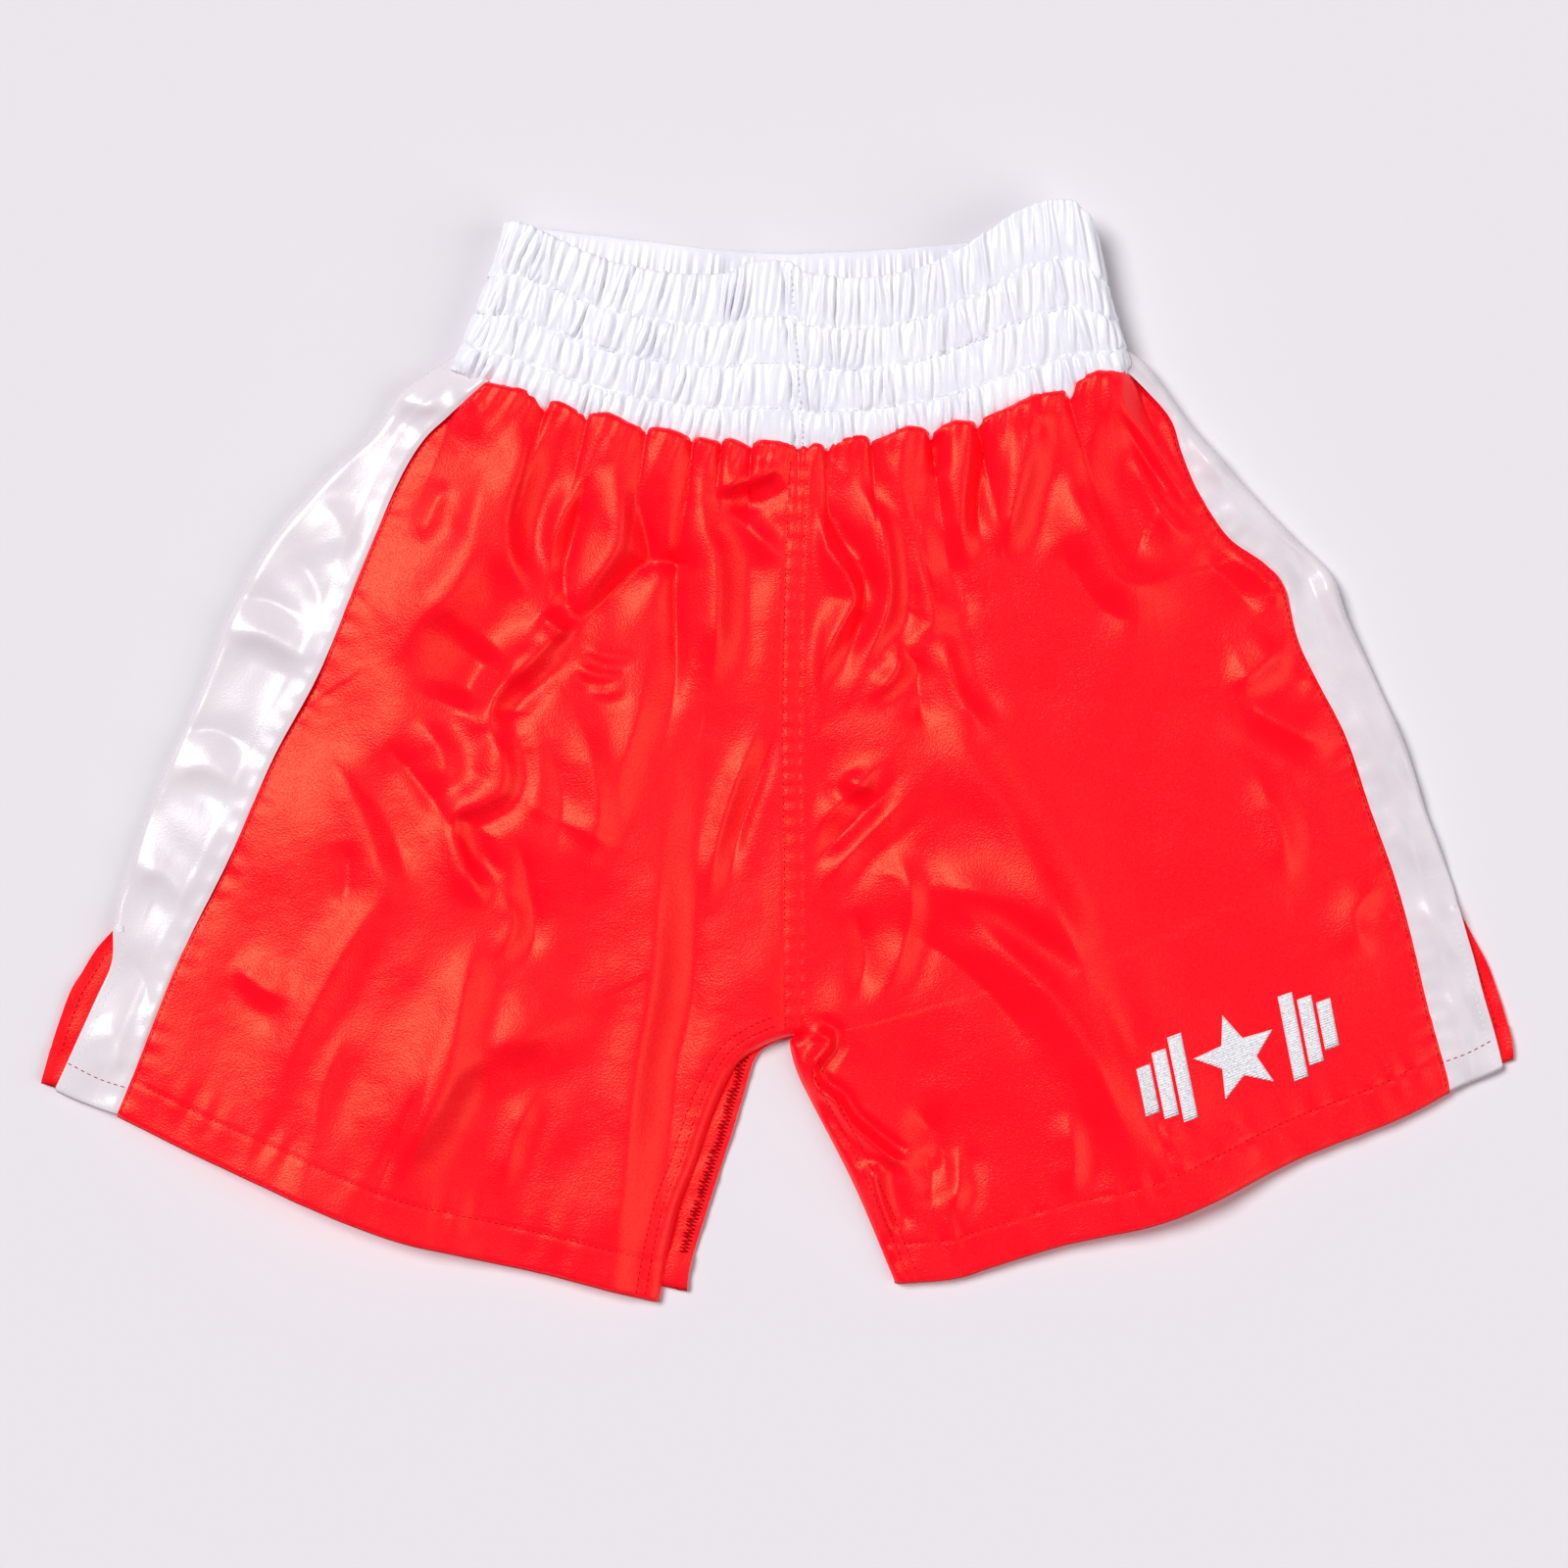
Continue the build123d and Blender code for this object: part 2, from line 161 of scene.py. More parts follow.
# Folds: height (below zero for a crease), half width, the share of the line over which the fold fades in
# and out (0 is the usual share), and the line, in millimetres.
RIGHT_FOLDS = [
    (6.0, 11, 0, [(-132, 193), (-137, 158), (-144, 134), (-145, 114), (-140, 98), (-128, 72)]),
    (4.6, 7, 0, [(-128, 76), (-120, 70), (-112, 62)]),
    (6.0, 17, 0, [(-158, 172), (-160, 143), (-164, 112), (-174, 90), (-190, 74), (-202, 60), (-217, 50)]),
    (-6.0, 24, 0, [(-150, 60), (-163, 42), (-172, 22)]),
    (-4.6, 6, 0, [(-79, 152), (-72, 124), (-69, 106), (-78, 99), (-100, 76), (-112, 58)]),
    (-3.2, 5, 0, [(-69, 106), (-56, 104), (-42, 100)]),
    (4.6, 11, 0, [(-88, 158), (-85, 132), (-86, 112), (-98, 92), (-114, 70)]),
    (-4.2, 6, 0, [(-40, 172), (-47, 148), (-54, 112), (-55, 94), (-55, 42), (-60, 10)]),
    (5.2, 11, 0, [(-44, 150), (-38, 122), (-33, 103), (-33, 62), (-38, 30)]),
    (5.0, 7, 0, [(2, 160), (-6, 150), (-26, 144), (-38, 141)]),
    (-3.0, 5, 0, [(2, 152), (-10, 145), (-26, 138)]),
    (2.6, 7, 0, [(-36, 141), (-12, 119), (4, 103)]),
    (-3.4, 5, 0, [(-96, 155), (-104, 140), (-112, 112), (-115, 98), (-112, 76)]),
    (3.0, 6, 0, [(-104, 150), (-120, 118), (-123, 96)]),
    (6.0, 8, 0, [(-117, 68), (-124, 59), (-136, 48), (-149, 35), (-154, 24), (-152, 6)]),
    (4.6, 7.5, 0.2, [(-158, 14), (-149, 2), (-148, -16), (-158, -24), (-173, -32), (-171, -50), (-163, -69),
                 (-155, -82)]),
    (1.6, 6, 0, [(-151, -71), (-144, -81), (-141, -91), (-147, -104), (-155, -109)]),
    (0.9, 6, 0, [(-142, -20), (-124, -30), (-100, -42), (-74, -54)]),
    (-1.8, 7, 0, [(-233, -44), (-231, -62), (-234, -84)]),
    (-3.0, 9, 0.2, [(-212, 8), (-187, -22), (-165, -52), (-156, -72)]),
    (-2.6, 8, 0, [(-140, -40), (-133, -72), (-131, -98), (-139, -118)]),
    (3.8, 16, 0, [(-96, -132), (-126, -148), (-156, -160), (-176, -180), (-188, -226)]),
    (-1.8, 4, 0, [(-186, -166), (-207, -215), (-217, -236)]),
    (2.4, 11, 0, [(-60, -30), (-64, -90), (-67, -126), (-75, -166), (-79, -196), (-84, -241), (-90, -276)]),
    (-2.6, 13, 0, [(-44, -50), (-46, -130), (-54, -170), (-60, -216), (-66, -250)]),
    (3.4, 11, 0.25, [(-160, -92), (-165, -110), (-173, -150), (-186, -190), (-206, -236)]),
    (-2.6, 5, 0, [(0, 14), (-12, -18), (-20, -40), (-26, -66)]),
    (2.6, 6, 0, [(-8, 20), (-22, -14), (-32, -46), (-38, -80)]),
    (2.2, 12, 0, [(-200, -60), (-230, -100), (-262, -160), (-276, -196)]),
    (2.4, 11, 0, [(-250, 6), (-228, -20), (-214, -56), (-206, -90)]),
    (-2.0, 10, 0, [(-236, -2), (-214, -30), (-196, -70)]),
    (2.0, 9, 0, [(-110, 24), (-100, 0), (-96, -34), (-104, -66)]),
    (-2.2, 9, 0, [(-124, 12), (-116, -20), (-118, -54)]),
    (2.0, 9, 0, [(-70, 60), (-74, 24), (-84, -10), (-82, -50)]),
    (1.8, 8, 0, [(-128, -176), (-142, -206), (-150, -240)]),
    (1.6, 9, 0, [(-230, -140), (-246, -182), (-252, -216)]),
    (1.2, 4, 0, [(-110, 50), (-98, 43), (-82, 44)]),
    (1.0, 4, 0, [(-104, 36), (-92, 34), (-80, 38)]),
    (1.0, 4, 0, [(-106, 60), (-92, 53), (-76, 54)]),
    (2.4, 9, 0, [(-176, 150), (-186, 132), (-192, 112)]),
    (2.0, 8, 0, [(-196, 20), (-180, 2), (-178, -24)]),
    (2.0, 9, 0, [(-296, -110), (-276, -126), (-258, -132)]),
]

LEFT_FOLDS = [
    (6.0, 9, 0, [(55, 168), (65, 151), (74, 124), (80, 100), (85, 74), (72, 62)]),
    (-4.4, 6, 0, [(62, 160), (71, 138), (78, 112), (84, 92), (89, 66)]),
    (3.0, 6, 0, [(72, 62), (65, 57), (64, 46), (55, 35), (47, 31)]),
    (3.6, 8, 0, [(90, 74), (92, 51), (97, 35), (106, 20), (117, 6)]),
    (-3.0, 7, 0, [(78, 60), (76, 36), (80, 12)]),
    (5.6, 8, 0, [(38, 150), (49, 136), (56, 121), (59, 103), (60, 88), (57, 73), (50, 58), (44, 42)]),
    (-3.2, 6, 0, [(46, 112), (47, 92), (44, 70), (36, 50)]),
    (4.6, 7, 0, [(15, 150), (21, 133), (26, 115), (37, 97), (42, 84), (38, 76), (32, 66), (26, 54), (20, 40),
                 (21, 26)]),
    (-2.8, 6, 0, [(24, 140), (34, 118), (44, 100)]),
    (-4.8, 5, 0, [(112, 182), (110, 158), (108, 136), (108, 112)]),
    (5.0, 10, 0, [(102, 178), (99, 150), (98, 122), (100, 98)]),
    (5.0, 11, 0, [(134, 176), (130, 150), (124, 124), (118, 104)]),
    (-4.6, 6, 0, [(84, 176), (86, 162), (84, 148)]),
    (5.6, 14, 0, [(150, 152), (166, 127), (174, 110), (184, 94), (200, 92), (220, 98)]),
    (-2.8, 12, 0, [(150, 118), (160, 98), (176, 78), (196, 70)]),
    (3.4, 6, 0, [(180, 205), (185, 189), (200, 169), (215, 145), (226, 130)]),
    (-2.6, 4, 0, [(184, 184), (199, 160), (212, 140)]),
    (3.0, 6, 0, [(188, 170), (202, 139), (212, 124), (226, 115)]),
    (2.0, 6, 0, [(128, 190), (138, 183), (144, 176)]),
    (4.6, 9, 0, [(238, 124), (258, 106), (278, 88), (284, 70)]),
    (-2.4, 9, 0, [(226, 110), (246, 92), (262, 74)]),
    (3.6, 11, 0, [(276, 62), (256, 44), (240, 38)]),
    (3.8, 11, 0, [(304, 2), (270, 18), (244, 36)]),
    (2.4, 9, 0, [(328, -67), (312, -86), (322, -112)]),
    (2.4, 9, 0, [(256, -6), (272, -40), (276, -72)]),
    (5.4, 13, 0, [(74, -70), (102, -87), (128, -110), (148, -130), (160, -148), (170, -164), (177, -180),
                  (185, -199), (198, -226)]),
    (4.0, 12, 0, [(75, -68), (103, -72), (130, -80), (150, -95), (164, -112)]),
    (-2.6, 10, 0, [(62, -92), (96, -112), (124, -140), (140, -166)]),
    (2.8, 11, 0.25, [(82, 34), (108, -7), (128, -40), (145, -71), (158, -100), (172, -135), (194, -190),
                     (214, -240)]),
    (-2.4, 5, 0, [(66, -11), (52, -27), (32, -46), (15, -62)]),
    (2.4, 7, 0, [(60, 0), (44, -15), (28, -32), (16, -46)]),
    (2.2, 8, 0, [(76, -16), (58, -34), (38, -54), (20, -74)]),
    (2.8, 6, 0, [(36, -8), (42, -16), (54, -20)]),
    (2.4, 8, 0, [(60, -46), (72, -76), (66, -110), (52, -134)]),
    (-2.2, 8, 0, [(40, -80), (48, -110), (40, -138)]),
    (4.6, 3.8, 0.1, [(16, -149), (22, -150), (28, -153), (25, -160), (20, -166), (19, -173), (23, -181),
                     (32, -187), (39, -198), (48, -206), (63, -218), (70, -222)]),
    (-4.6, 12, 0, [(70, -188), (86, -208), (94, -240)]),
    (4.0, 6, 0.2, [(52, -218), (54, -238), (62, -262)]),
    (-3.0, 6, 0, [(14, -160), (17, -172), (16, -184), (30, -200), (44, -218)]),
    (-2.6, 7, 0, [(78, -212), (83, -228), (84, -246)]),
    (2.0, 6, 0, [(96, -210), (98, -232), (94, -250)]),
    (2.2, 8, 0, [(154, -190), (160, -214), (158, -240)]),
    (-1.6, 6, 0, [(196, -180), (206, -206), (216, -226)]),
    (1.4, 6, 0, [(206, -196), (216, -214), (224, -230)]),
    (1.0, 5, 0, [(240, -196), (252, -210), (262, -220)]),
]

RIGHT_STRIPE_FOLDS = [
    (2.8, 9, 0, [(-304, 66), (-280, 66), (-256, 54), (-244, 50)]),
    (-2.2, 8, 0, [(-300, 84), (-276, 84), (-250, 70)]),
    (2.4, 8, 0, [(-214, 192), (-196, 190), (-176, 184)]),
    (2.2, 9, 0, [(-334, -14), (-310, -6), (-286, -20)]),
    (-2.0, 8, 0, [(-330, 10), (-306, 14), (-282, 2)]),
    (2.0, 10, 0, [(-250, 140), (-236, 124), (-232, 104)]),
    (1.8, 9, 0, [(-352, -66), (-332, -64), (-316, -84)]),
    (-1.6, 9, 0, [(-356, -108), (-344, -120), (-338, -144)]),
    (1.8, 10, 0, [(-366, -140), (-358, -156), (-356, -176)]),
    (-1.6, 8, 0, [(-264, 110), (-252, 96), (-244, 74)]),
]

LEFT_STRIPE_FOLDS = [
    (2.4, 8, 0, [(292, 100), (302, 88), (312, 70)]),
    (-1.8, 8, 0, [(280, 110), (292, 86), (300, 60)]),
    (1.6, 9, 0, [(216, 182), (230, 170), (248, 146)]),
    (1.6, 10, 0, [(322, 10), (334, -10), (350, -36)]),
    (1.4, 8, 0, [(350, -74), (360, -94), (372, -116)]),
    (1.6, 9, 0, [(362, -126), (374, -142), (384, -160)]),
]

USUAL_FADE = 0.35
FOLD_SCALE = 1.55
STRIPE_FOLD_SCALE = 1.35
FOLD_WIDTH_SCALE = 0.92
STEEP_WAY = (0.8, -0.57)  # the way in which most folds lean over
HIGH = 29.0  # from this height the folds are pressed flatter
LOW_FRONT = 2.6  # the front's rolled edge comes down to this height
HEM_DROP = 2.3  # the turned part of the front's hem lies this far under it
STRIPE_HEM_DROP = 2.0

# Seams: how far the stitches lie from the seam line.
INSEAM_STITCHES = (8.0, 13.0)
CENTRE_STITCHES = (-8.6, 0.7)
SEAM_STITCHES = 1.9
SPACING = 2.0  # between two points of a line


# Lines and surfaces, in millimetres.

def smooth_line(points, spacing=SPACING):
    """A smooth line through the points, as evenly spaced rows of x, y."""
    given = np.array(points, float)
    padded = np.vstack([2 * given[0] - given[1], given, 2 * given[-1] - given[-2]])
    parts = []
    share = np.linspace(0, 1, 16, endpoint=False)[:, None]
    for a, b, c, d in zip(padded, padded[1:], padded[2:], padded[3:]):
        parts.append(
            0.5 * (2 * b + (c - a) * share + (2 * a - 5 * b + 4 * c - d) * share**2
                   + (3 * b - a - 3 * c + d) * share**3)
        )
    parts.append(given[-1:])
    return even_line(np.vstack(parts), spacing)


def even_line(line, spacing=SPACING):
    """The same line with evenly spaced points."""
    run = np.concatenate([[0], np.cumsum(np.linalg.norm(np.diff(line, axis=0), axis=1))])
    count = max(2, int(round(run[-1] / spacing)) + 1)
    at = np.linspace(0, run[-1], count)
    return np.stack([np.interp(at, run, line[:, k]) for k in range(line.shape[1])], axis=1)


def along(line, share):
    """Points of an evenly spaced line at shares of its length."""
    at = np.clip(share, 0, 1) * (len(line) - 1)
    index = np.arange(len(line))
    return np.stack([np.interp(at, index, line[:, k]) for k in range(line.shape[1])], axis=-1)


def joined(first, second):
    """Two lines end to end, evenly spaced."""
    return even_line(np.vstack([first, second[1:]]))


def beside(line, distance):
    """The line moved to its left by a distance."""
    step = np.gradient(line[:, :2], axis=0)
    step /= np.linalg.norm(step, axis=1)[:, None]
    return line[:, :2] + distance * np.stack([-step[:, 1], step[:, 0]], axis=1)


def line_distance(x, y, line, reach=1e9):
    """Distance to a line, signed above zero on its left, and the share of its length, for each point."""
    low, high = line.min(0) - reach, line.max(0) + reach
    near = np.nonzero((x > low[0]) & (x < high[0]) & (y > low[1]) & (y < high[1]))[0]
    distance = np.full(x.shape, 1e9)
    share = np.zeros(x.shape)
    px, py = x[near], y[near]
    best = np.full(px.shape, 1e18)
    signed = np.zeros(px.shape)
    where = np.zeros(px.shape)
    for i, (a, b) in enumerate(zip(line, line[1:])):
        dx, dy = b - a
        length = dx * dx + dy * dy + 1e-12
        t = np.clip(((px - a[0]) * dx + (py - a[1]) * dy) / length, 0, 1)
        ex, ey = px - a[0] - t * dx, py - a[1] - t * dy
        square = ex * ex + ey * ey
        closer = square < best
        best = np.where(closer, square, best)
        signed = np.where(closer, np.sign(dx * ey - dy * ex), signed)
        where = np.where(closer, i + t, where)
    distance[near] = np.sqrt(best) * np.where(signed < 0, -1, 1)
    share[near] = where / max(1, len(line) - 1)
    return distance, share


def gap_and_run(x, y, line, skip):
    """Distance to a line and the millimetres run along it, from every few of its points."""
    gap, share = line_distance(x, y, line[::skip])
    return np.abs(gap), share * len(line) * SPACING


def ease(t):
    """A smooth step from 0 to 1."""
    t = np.clip(t, 0, 1)
    return t * t * (3 - 2 * t)


def bell(x, width):
    """A soft bump of height 1 round 0."""
    return np.exp(-((x / width) ** 2))


def folds(x, y, strokes, scale):
    """Height that a list of folds adds at each point."""
    total = np.zeros(x.shape)
    for height, width, fade, points in strokes:
        line = smooth_line(points, 4.0)
        distance, share = line_distance(x, y, line, 4.0 * width)
        fade = fade or USUAL_FADE
        width = FOLD_WIDTH_SCALE * width
        ends = 0.08 + 0.92 * ease(share / fade) * ease((1 - share) / fade)
        if height < 0:
            total += scale * height * ends * np.exp(-(np.abs(distance) / width) ** 1.35)
            continue
        # A ridge leans away from its gentle flank and has a valley beyond its steep one.
        run = line[-1] - line[0]
        steep_side = 1 if -run[1] * STEEP_WAY[0] + run[0] * STEEP_WAY[1] > 0 else -1
        off = distance * steep_side
        across = np.abs(off) / np.where(off > 0, 0.72 * width, 1.3 * width)
        total += scale * height * ends * np.exp(-across**1.7)
        total -= 0.38 * scale * height * ends * bell(off - 1.75 * width, 0.9 * width)
    return total


def waves(x, y, seed, wavelength, count=22):
    """Smooth random unevenness of about unit height, the same on every run."""
    random = np.random.default_rng(seed)
    total = np.zeros(x.shape)
    for _ in range(count):
        length = wavelength * random.uniform(0.6, 1.8)
        angle, phase = random.uniform(0, math.tau, 2)
        total += np.sin(math.tau / length * (x * math.cos(angle) + y * math.sin(angle)) + phase)
    return total / math.sqrt(count)


def ripple(run, seed, wavelength):
    """An uneven ripple along a seam."""
    wander = np.sin(run / (wavelength * 3.1) + seed) + 0.7 * np.sin(run / (wavelength * 1.7) + 2.3 * seed)
    return np.sin(math.tau * run / wavelength + 1.5 * wander) * (0.75 + 0.25 * np.sin(run / 23 + seed))


def band_seam_y(x):
    """Height in the plan of the seam between band and body."""
    return BAND_SEAM_Y + BAND_SAG * ((x - BAND_CENTRE_X) / BAND_HALF) ** 2


def puff(x):
    """How far up a puff of the gathered edge a point is, 0 in a pinch and 1 on top, and the puff's width."""
    rise = np.zeros(x.shape)
    width = np.full(x.shape, 20.0)
    for low, high in PUFFS:
        inside = (x >= low - 1) & (x <= high + 1)
        share = np.clip((x - low + 1) / (high - low + 2), 0, 1)
        # A puff leans towards the side seam: its top is nearer to that end.
        share = share**0.72 if low < BAND_CENTRE_X - 20 else 1 - (1 - share) ** 0.72
        rise = np.where(inside, np.sin(math.pi * share) ** 0.75, rise)
        width = np.where(inside, high - low, width)
    return rise, width


class Leg:
    """Lines and heights of one leg."""

    def __init__(self, data):
        self.name = data["name"]
        self.side = data["side"]
        self.centre = smooth_line(CENTRE_SEAM)
        for line in ("seam", "outer", "slit", "hem", "stripe_hem", "inseam", "back_slit", "back_hem",
                     "back_inseam", "dome"):
            setattr(self, line, smooth_line(data[line]))
        self.edge = joined(self.outer, self.slit)
        lap = 1.1 if self.side < 0 else 0.0  # one panel laps the other by this at the centre seam
        self.inner = joined(self.centre + np.array([lap, 0]), self.inseam)
        self.back_inner = joined(self.centre, self.back_inseam)
        self.back_edge = joined(self.outer, self.back_slit)
        self.folds = RIGHT_FOLDS if self.side < 0 else LEFT_FOLDS
        self.stripe_folds = RIGHT_STRIPE_FOLDS if self.side < 0 else LEFT_STRIPE_FOLDS

    def base(self, x, y):
        """Smooth height of the front, falling to its side edge."""
        full = 8.0 + (y + 296) * 0.034
        from_edge = np.abs(line_distance(x, y, self.edge[::4])[0])
        low = ease((130 - y) / 150)
        if self.side < 0:
            # Two long ridges down the leg, each with its gentle flank on the left.
            crest = np.clip(-158 + 0.35 * (y + 83), -215, -130)
            full = full + 10.5 * low * bell(x - crest, np.where(x < crest, 100, 52))
            crest = -66 + 0.12 * (y + 80)
            full = full + 5.0 * ease((40 - y) / 110) * bell(x - crest, np.where(x < crest, 42, 13))
            full = full - 2.5 * low * ease((x + 130) / 90)
        else:
            crest = 145 - 0.48 * (y + 71)
            tall = 7.0 * ease((x - CROTCH_X) / 60) * ease((90 - y) / 110)
            full = full + tall * bell(x - crest, np.where(x < crest, 84, 34)) - 2.5 * low
        full = np.maximum(full, 6.0)
        near_band = bell(np.clip(band_seam_y(x) - y, 0, 400), 42)
        spread = 0.5 + 0.5 * ease(from_edge / (110 - 84 * near_band))
        return full * spread + 0.8 + 1.4 * near_band * ease(from_edge / 30)

    def gathers(self, x, y):
        """Puffs and pinches under the band, fading down the leg."""
        below = band_seam_y(x) - y
        fan = BAND_CENTRE_X + (x - BAND_CENTRE_X) / (1 + np.clip(below, 0, 200) / 520)
        rise, width = puff(fan)
        reach = 16 + 0.6 * width
        fade = np.exp(-(np.clip(below, 0, 400) / reach) ** 1.25)
        tall = 2.2 + 0.07 * width
        fine = 0.9 * np.exp(-np.clip(below, 0, 100) / 11) * ripple(fan + 0.25 * below + 300, 1.7, 8.5)
        return (tall * rise - 3.6 * (1 - rise) ** 2) * fade + fine

    def front(self, x, y):
        """Height of the red front panel."""
        right = self.side < 0
        hem_gap, hem_run = gap_and_run(x, y, self.hem, 3)
        seam_gap, seam_run = gap_and_run(x, y, self.seam, 3)
        centre_gap, centre_run = gap_and_run(x, y, self.centre, 3)
        inseam_gap, inseam_run = gap_and_run(x, y, self.inseam, 2)
        from_centre = ease(centre_gap / 22)
        centre_gap = np.where(y < CROTCH_Y, 1e3, centre_gap)
        quiet = ease(seam_gap / 9) * ease((centre_gap - 5) / 9) * ease((inseam_gap - 2) / 10)
        z = self.base(x, y) + (0.25 + 0.75 * quiet) * folds(x, y, self.folds, FOLD_SCALE)
        z += (0.35 + 0.65 * ease(centre_gap / 14)) * self.gathers(x, y)

        # Unevenness of the open cloth.
        calm = 1.0 if right else 0.35 + 0.65 * ease((-x + 130) / 60)
        calm = calm * from_centre
        z += 1.6 * calm * waves(x, y, 11 + self.side, 84) + 0.32 * calm * waves(x, y, 31 + self.side, 36)
        z += 0.05 * calm * waves(x, y, 71 + self.side, 12)

        # Puckers along the stripe seam, and its ditch.
        uneven = 0.5 + 0.5 * ripple(seam_run, 4.0, 57)
        z += 0.6 * uneven * bell(seam_gap - 3, 7) * ripple(seam_run, 2.0 + self.side, 13)
        z -= 1.0 * bell(seam_gap, 1.6)

        # The stitched strip of the centre seam.
        on_strip = ease((10 - centre_gap) / 2.5) if right else 0.25 * ease((6 - centre_gap) / 4)
        z += on_strip * (0.45 + 0.2 * ripple(centre_run, 0.4, 9.0))
        z -= 0.4 * bell(centre_gap, 1.1)
        if right:
            z -= 0.6 * bell(centre_gap + CENTRE_STITCHES[0], 1.1)

        # Puckers above the hem, and the ditch of its stitches.
        uneven = 0.5 + 0.5 * ripple(hem_run, 5.0, 61)
        z += 0.85 * uneven * bell(hem_gap - 22, 12) * ripple(hem_run, 1.1 * self.side, 17.5)
        z += 0.35 * bell(hem_gap, 16) * ripple(hem_run, 3.0, 24)
        z -= 0.45 * bell(hem_gap - 21.0, 1.2)

        # The inseam with its two rows of stitches.
        pucker, deep = (0.15, 0.1) if right else (0.3, 0.3)
        z += pucker * bell(inseam_gap, 12) * ripple(inseam_run, 0.9, 12)
        for offset in INSEAM_STITCHES:
            z -= deep * bell(inseam_gap - offset, 1.1) * (y < CROTCH_Y)

        z = np.where(z > HIGH, HIGH + 5.0 * np.tanh((z - HIGH) / 5.0), z)
        share = np.clip(inseam_gap / 6.0, 0, 1)
        edge = np.maximum(np.sqrt(share * (2 - share)), ease((y - CROTCH_Y + 8) / 30))
        return LOW_FRONT + np.maximum(z - LOW_FRONT, 0.8) * edge

    def back(self, x, y):
        """Height of the red back panel on the table."""
        side_gap = np.abs(line_distance(x, y, self.back_edge[::4])[0])
        above_slit = ease((y - self.slit[0][1]) / 12)
        z = 1.7 + 0.35 * waves(x, y, 71 + self.side, 34)
        z += (1 - above_slit) * (0.9 * ease(1 - side_gap / 3) - 0.5 * bell(side_gap - 6, 1.2))
        inseam_gap = np.abs(line_distance(x, y, self.back_inseam[::3])[0])
        z += (0.9 + 0.3 * waves(x, y, 5, 6)) * ease((11 - inseam_gap) / 1.5)
        z -= 0.7 * bell(inseam_gap - 1.6, 0.8)
        return np.maximum(z, 0.7)

    def stripe(self, x, y):
        """Height of the white side stripe."""
        seam_gap, seam_run = gap_and_run(x, y, self.seam, 3)
        z = self.base(x, y) + ease(seam_gap / 12) * folds(x, y, self.stripe_folds, STRIPE_FOLD_SCALE)
        mottle = 1.0 if self.side < 0 else 1.7
        z += mottle * ease(seam_gap / 14) * waves(x, y, 5 + self.side, 44)
        z += 0.3 * bell(seam_gap - 3, 6) * ripple(seam_run, 2.0 + self.side, 13)
        z -= 1.0 * bell(seam_gap, 1.6)
        z += 0.45 * ease((16 - seam_gap) / 4.0)
        return np.maximum(z, 4.0)


def sides(leg, edge, inner):
    """A panel's west and east lines, both running upwards, and their mean length."""
    west, east = (edge[::-1], inner[::-1]) if leg.side < 0 else (inner[::-1], edge[::-1])
    return west, east, (len(west) + len(east)) * SPACING / 2


def patch(west, east, south, north, u, v):
    """A surface's plan between four lines: west and east run upwards, south and north run to the east."""
    w, e = along(west, v), along(east, v)
    s, n = along(south, u), along(north, u)
    u, v = u[:, None], v[:, None]
    corners = (
        (1 - u) * (1 - v) * west[0] + u * (1 - v) * east[0] + (1 - u) * v * west[-1] + u * v * east[-1]
    )
    return (1 - u) * w + u * e + (1 - v) * s + v * n - corners


# Meshes.

def finish_piece(obj, nodes, slot, *materials):
    """Hands a piece to the frame."""
    for material in materials:
        obj.data.materials.append(material)
    bpy.context.scene.collection.objects.link(obj)
    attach(obj, BODY)
    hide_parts(*nodes)
    return obj


def grid_sheet(name, across, up, shape, nodes, slot, material, size, turn=False, close=False):
    """A sheet on a grid, placed by shape(u, v) in millimetres, with cloth coordinates of that size."""
    bm = bmesh.new()
    bm.loops.layers.uv.new("cloth")
    bmesh.ops.create_grid(bm, x_segments=across, y_segments=up, size=0.5, calc_uvs=True)
    if turn:
        bmesh.ops.reverse_faces(bm, faces=bm.faces)
    mesh = bpy.data.meshes.new(name)
    bm.to_mesh(mesh)
    bm.free()
    flat = np.zeros(len(mesh.vertices) * 3)
    mesh.vertices.foreach_get("co", flat)
    flat = flat.reshape(-1, 3)
    placed = shape(np.clip(flat[:, 0] + 0.5, 0, 1), np.clip(flat[:, 1] + 0.5, 0, 1))
    mesh.vertices.foreach_set("co", (placed * MM).astype(np.float32).ravel())
    layer = mesh.uv_layers["cloth"].data
    uv = np.zeros(len(layer) * 2, np.float32)
    layer.foreach_get("uv", uv)
    uv = uv.reshape(-1, 2) * np.array(size, np.float32) * MM
    layer.foreach_set("uv", uv.ravel())
    if close:
        bm = bmesh.new()
        bm.from_mesh(mesh)
        bmesh.ops.remove_doubles(bm, verts=bm.verts, dist=0.02 * MM)
        bm.to_mesh(mesh)
        bm.free()
    mesh.shade_smooth()
    return finish_piece(bpy.data.objects.new(name, mesh), nodes, slot, material)


def turned_rows(v, length, depth, rows_share):
    """Run up a sheet with its lower edge turned under, below zero on the turned part."""
    return np.where(v < rows_share, -depth * (1 - v / rows_share),
                    (v - rows_share) / (1 - rows_share) * length)


def whole_loop(u):
    """A share of a ring with its last column exactly on its first."""
    return np.where(u >= 1.0, 0.0, u)


def on(height, line, lift=-0.02):
    """A plan line laid on a surface."""
    return np.column_stack([line, height(line[:, 0], line[:, 1]) + lift])


